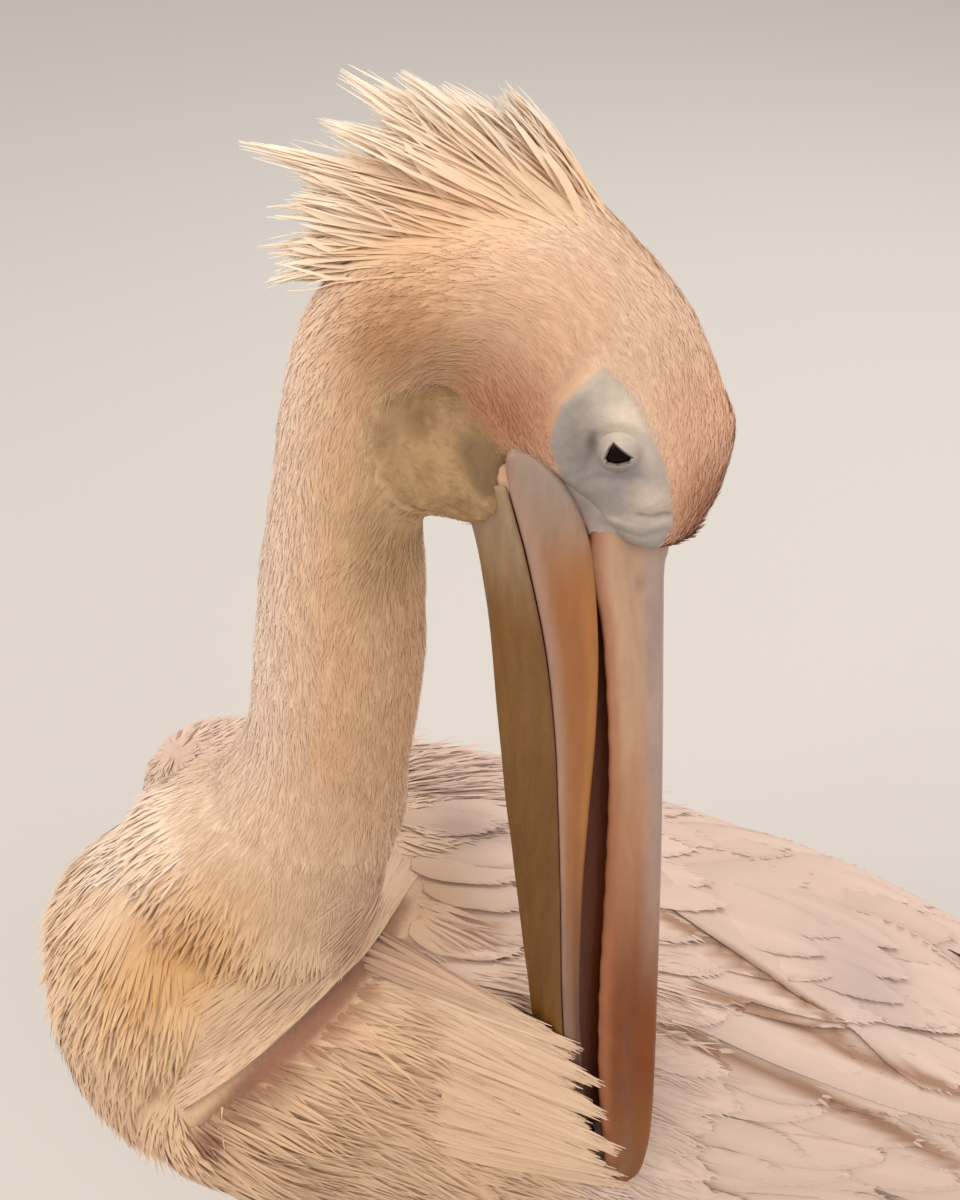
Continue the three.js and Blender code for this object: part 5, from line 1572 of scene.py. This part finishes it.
# tail
coat_tail = Coat("coat_tail", VANEMAT, "wing_feathers")
m = 18
x = np.linspace(-1, 1, m)
order = np.argsort(np.abs(x))[::-1]
x = x[order]
layer = np.linspace(0, 1, m)
for z_off, pulled, wid in ((0.0, 0.0, 27.0), (7.0, 62.0, 30.0)):
    r0 = np.column_stack([34 * x, np.full(m, 352.0), 226 + 9 * layer + z_off * 0.8 - 6 * x * x])
    tip = np.column_stack([70 * x * (1 - pulled / 400), 545 - 26 * x * x - pulled, 154 + 3.5 * layer - 5 * x * x + z_off * 0.3 + pulled * 0.38])
    k = 12
    t = np.linspace(0, 1, k)[None, :, None]
    mid = r0[:, None] * (1 - t) + tip[:, None] * t
    d = norm(tip - r0)
    nn = norm(A([0.0, 0, 1]) + np.column_stack([0.25 * x, x * 0, x * 0]))
    nn = norm(nn - d * dot(nn, d)[:, None])
    v = vane_grid(mid, np.repeat(nn[:, None], k, 1), np.repeat(d[:, None], k, 1), np.full(m, wid), k, 5, VANE, 0.14)
    root = np.column_stack([ATLAS["tail"][0] + 0.01 + 0.23 * (x + 1) / 2, np.full(m, ATLAS["tail"][1] + 0.02 + z_off * 0.01)])
    coat_tail.add(v, vane_colour(np.tile(WHITE * 0.97, (m, 1)), k, 5, 0.08, 0.92, 1.02), root)
for ob in coat_tail.build():
    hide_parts("tail")

# crest: long narrow plumes that lie along the crown and sweep off the nape, root -> tip
PLUMES = A([[24, -34, 880, -8, -92, 856], [28, -30, 878, 0, -91, 846], [24, -16, 886, -2, -87, 878], [17, -6, 892, -17, -101, 900], [26, -12, 887, 4, -76, 886],
            [12, 0, 894, -24, -67, 906], [18, 6, 894, 2, -58, 914], [10, 12, 896, -16, -55, 930], [12, 20, 896, -6, -32, 932], [0, 24, 896, -20, -16, 922],
            [8, 28, 895, 2, -10, 926], [0, 34, 893, -4, 9, 928]], float)
coat_crest = Coat("coat_crest", FEATHER, "crest_plumes", own=0.05)
for reps, wide, layer in ((64, 4.6, 2), (75, 2.1, 0), (150, 1.6, 1)):
    m = len(PLUMES) * reps
    idx = np.repeat(np.arange(len(PLUMES)), reps)
    lead = np.tile(np.arange(reps) < 5, len(PLUMES)) & (layer == 0)
    other = np.clip(idx + rng.choice([-1, 1], m), 0, len(PLUMES) - 1)
    f = (rng.random(m) * 0.5 * ~lead)[:, None]
    f = np.where(layer == 0, f * 0.3, f)
    pl = PLUMES[idx] * (1 - f) + PLUMES[other] * f
    rt, tp = PLUMES[idx][:, :3] * (1 - f) + PLUMES[other][:, :3] * f, pl[:, 3:].copy()
    u, w, sd = head_local(rt)
    far = (rng.random(m) < 0.4) & ~lead
    rt = np.where(far[:, None], rt - 2 * sd[:, None] * RIGHT_DIR, rt)
    start = np.where(lead, rng.uniform(-0.2, 0.1, m), rng.uniform(-0.45, 0.35, m) if layer else rng.uniform(-0.5, 0.2, m))
    start = np.where(far, np.maximum(start, 0.0), start)[:, None]
    reach = np.where(lead, rng.uniform(0.93, 1.0, m), rng.uniform(0.5, 0.78, m) if layer == 2 else rng.uniform(0.42, 0.8, m) if layer else rng.uniform(0.6, 0.98, m))[:, None]
    off = rng.normal(0, 5.5, (m, 3))
    r0 = rt + (tp - rt) * start + off
    t1 = rt + (tp - rt) * reach + np.where(lead[:, None], off * 0.08, off * (0.45 if layer else 0.25)) + rng.normal(0, 0.9, (m, 3))
    r0, n0 = nearest(r0)
    r0 = r0 - n0 * 1.0
    k = 9
    t = np.linspace(0, 1, k)[None, :, None]
    ctrl = r0 * 0.5 + t1 * 0.5 + n0 * (rng.uniform(1, 4, m) if layer == 2 else rng.uniform(3.5, 7, m))[:, None]
    path = r0[:, None] * (1 - t) ** 2 + 2 * ctrl[:, None] * t * (1 - t) + t1[:, None] * t ** 2
    bend = np.cross(norm(t1 - r0), n0) * rng.normal(0, 1.8, m)[:, None] + n0 * rng.normal(0, 0.7, m)[:, None]
    path = path + bend[:, None] * (np.sin(np.pi * t) + 0.6 * t ** 2)
    flat = path.reshape(-1, 3)
    q, nn = nearest(flat)
    gap = dot(flat - q, nn)
    need = np.tile(np.interp(np.linspace(0, 1, k), [0, 0.15, 1], [-1.0, 0.6, 1.6] if layer == 2 else [-1.0, 0.9, 4.0]), m)
    flat = flat + nn * np.maximum(need - gap, 0)[:, None]
    path = flat.reshape(m, k, 3)
    nn = nn.reshape(m, k, 3)
    dr = norm(np.gradient(path, axis=1))
    face = norm(nn + A([0.25, 0.0, 0.25]))
    face = norm(face - dr * dot(dr, face)[..., None])
    v = vane_grid(path, face, dr, np.where(lead, 3.2, wide * rng.uniform(0.8, 1.2, m)), k, 3,
                  (0.5, 1, 1, 1, 0.95, 0.85, 0.7, 0.45, 0.1) if layer == 2 else (0.6, 1, 1, 0.95, 0.85, 0.7, 0.55, 0.4, 0.12), 0.06, rng.normal(0, 0.06, m))
    a = (plumage_colour(r0) * 0.6 + lin((228, 186, 142)) * 0.4)[:, None, None]
    b = lin((245, 230, 211))
    along = np.clip(start + (reach - start) * np.linspace(0, 1, k)[None], 0, 1)          # place along the whole plume
    mixw = np.interp(along, [0, 0.2, 0.55, 0.8], [0.0, 0.15, 0.75, 1.0])[:, :, None, None]
    col = vane_colour(np.broadcast_to(a * (1 - mixw) + b * mixw, (m, k, 3, 3)), k, 3, 0.0, 0.99, 1.02, 0.02, 0.015)
    root = np.column_stack([ATLAS["crest"][0] + 0.01 + 0.24 * np.clip((r0[:, 1] + 90) / 150, 0, 1), ATLAS["crest"][1] + 0.01 + 0.15 * np.clip((r0[:, 0] + 60) / 110, 0, 1)])
    coat_crest.add(v, col, root, norm(face.mean(1)))
for ob in coat_crest.build():
    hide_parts("crest")
print("coat triangles", Coat.tris, "pieces", Coat.pieces)


# ------------------------------------------------------------------ floor, light, camera
bpy.ops.mesh.primitive_plane_add(size=24, location=(0, 0, 0))
floor = bpy.context.object
floor.name = "floor"
floor.data.materials.append(material("floor", rough=0.9, spec=0.1, color=(0.62, 0.60, 0.58), tint=False))

world = bpy.data.worlds.new("studio")
world.use_nodes = True
world.node_tree.nodes["Background"].inputs["Color"].default_value = (1.0, 0.95, 0.90, 1)
world.node_tree.nodes["Background"].inputs["Strength"].default_value = 0.72
bpy.context.scene.world = world


def area(name, at, to, size, power, color):
    d = bpy.data.lights.new(name, "AREA")
    d.shape = "DISK"
    d.size = size
    d.energy = power
    d.color = color
    o = bpy.data.objects.new(name, d)
    o.location = at
    o.rotation_euler = (Vector(to) - Vector(at)).to_track_quat("-Z", "Y").to_euler()
    bpy.context.scene.collection.objects.link(o)


area("key", (0.9, -2.1, 2.6), (0, -0.1, 0.6), 2.1, 44, (1.0, 0.90, 0.77))
area("fill", (1.5, 1.3, 2.4), (0, 0, 0.7), 1.7, 19, (1.0, 0.92, 0.86))
area("back", (-1.8, 1.0, 2.4), (0, 0, 0.6), 1.4, 26, (1.0, 0.94, 0.88))

cam = bpy.data.cameras.new("camera")
cam.sensor_fit = "VERTICAL"
cam.sensor_height = 24
cam.lens = 28
cam.clip_start = 0.01
cam_o = bpy.data.objects.new("camera", cam)
cam_o.location = (A([541.0, 0.0, 1113.0]) + SHIFT) / 1000
cam_o.rotation_euler = (math.radians(51), 0, math.radians(90))
bpy.context.scene.collection.objects.link(cam_o)
bpy.context.scene.camera = cam_o
bpy.context.scene.view_settings.view_transform = "Standard"
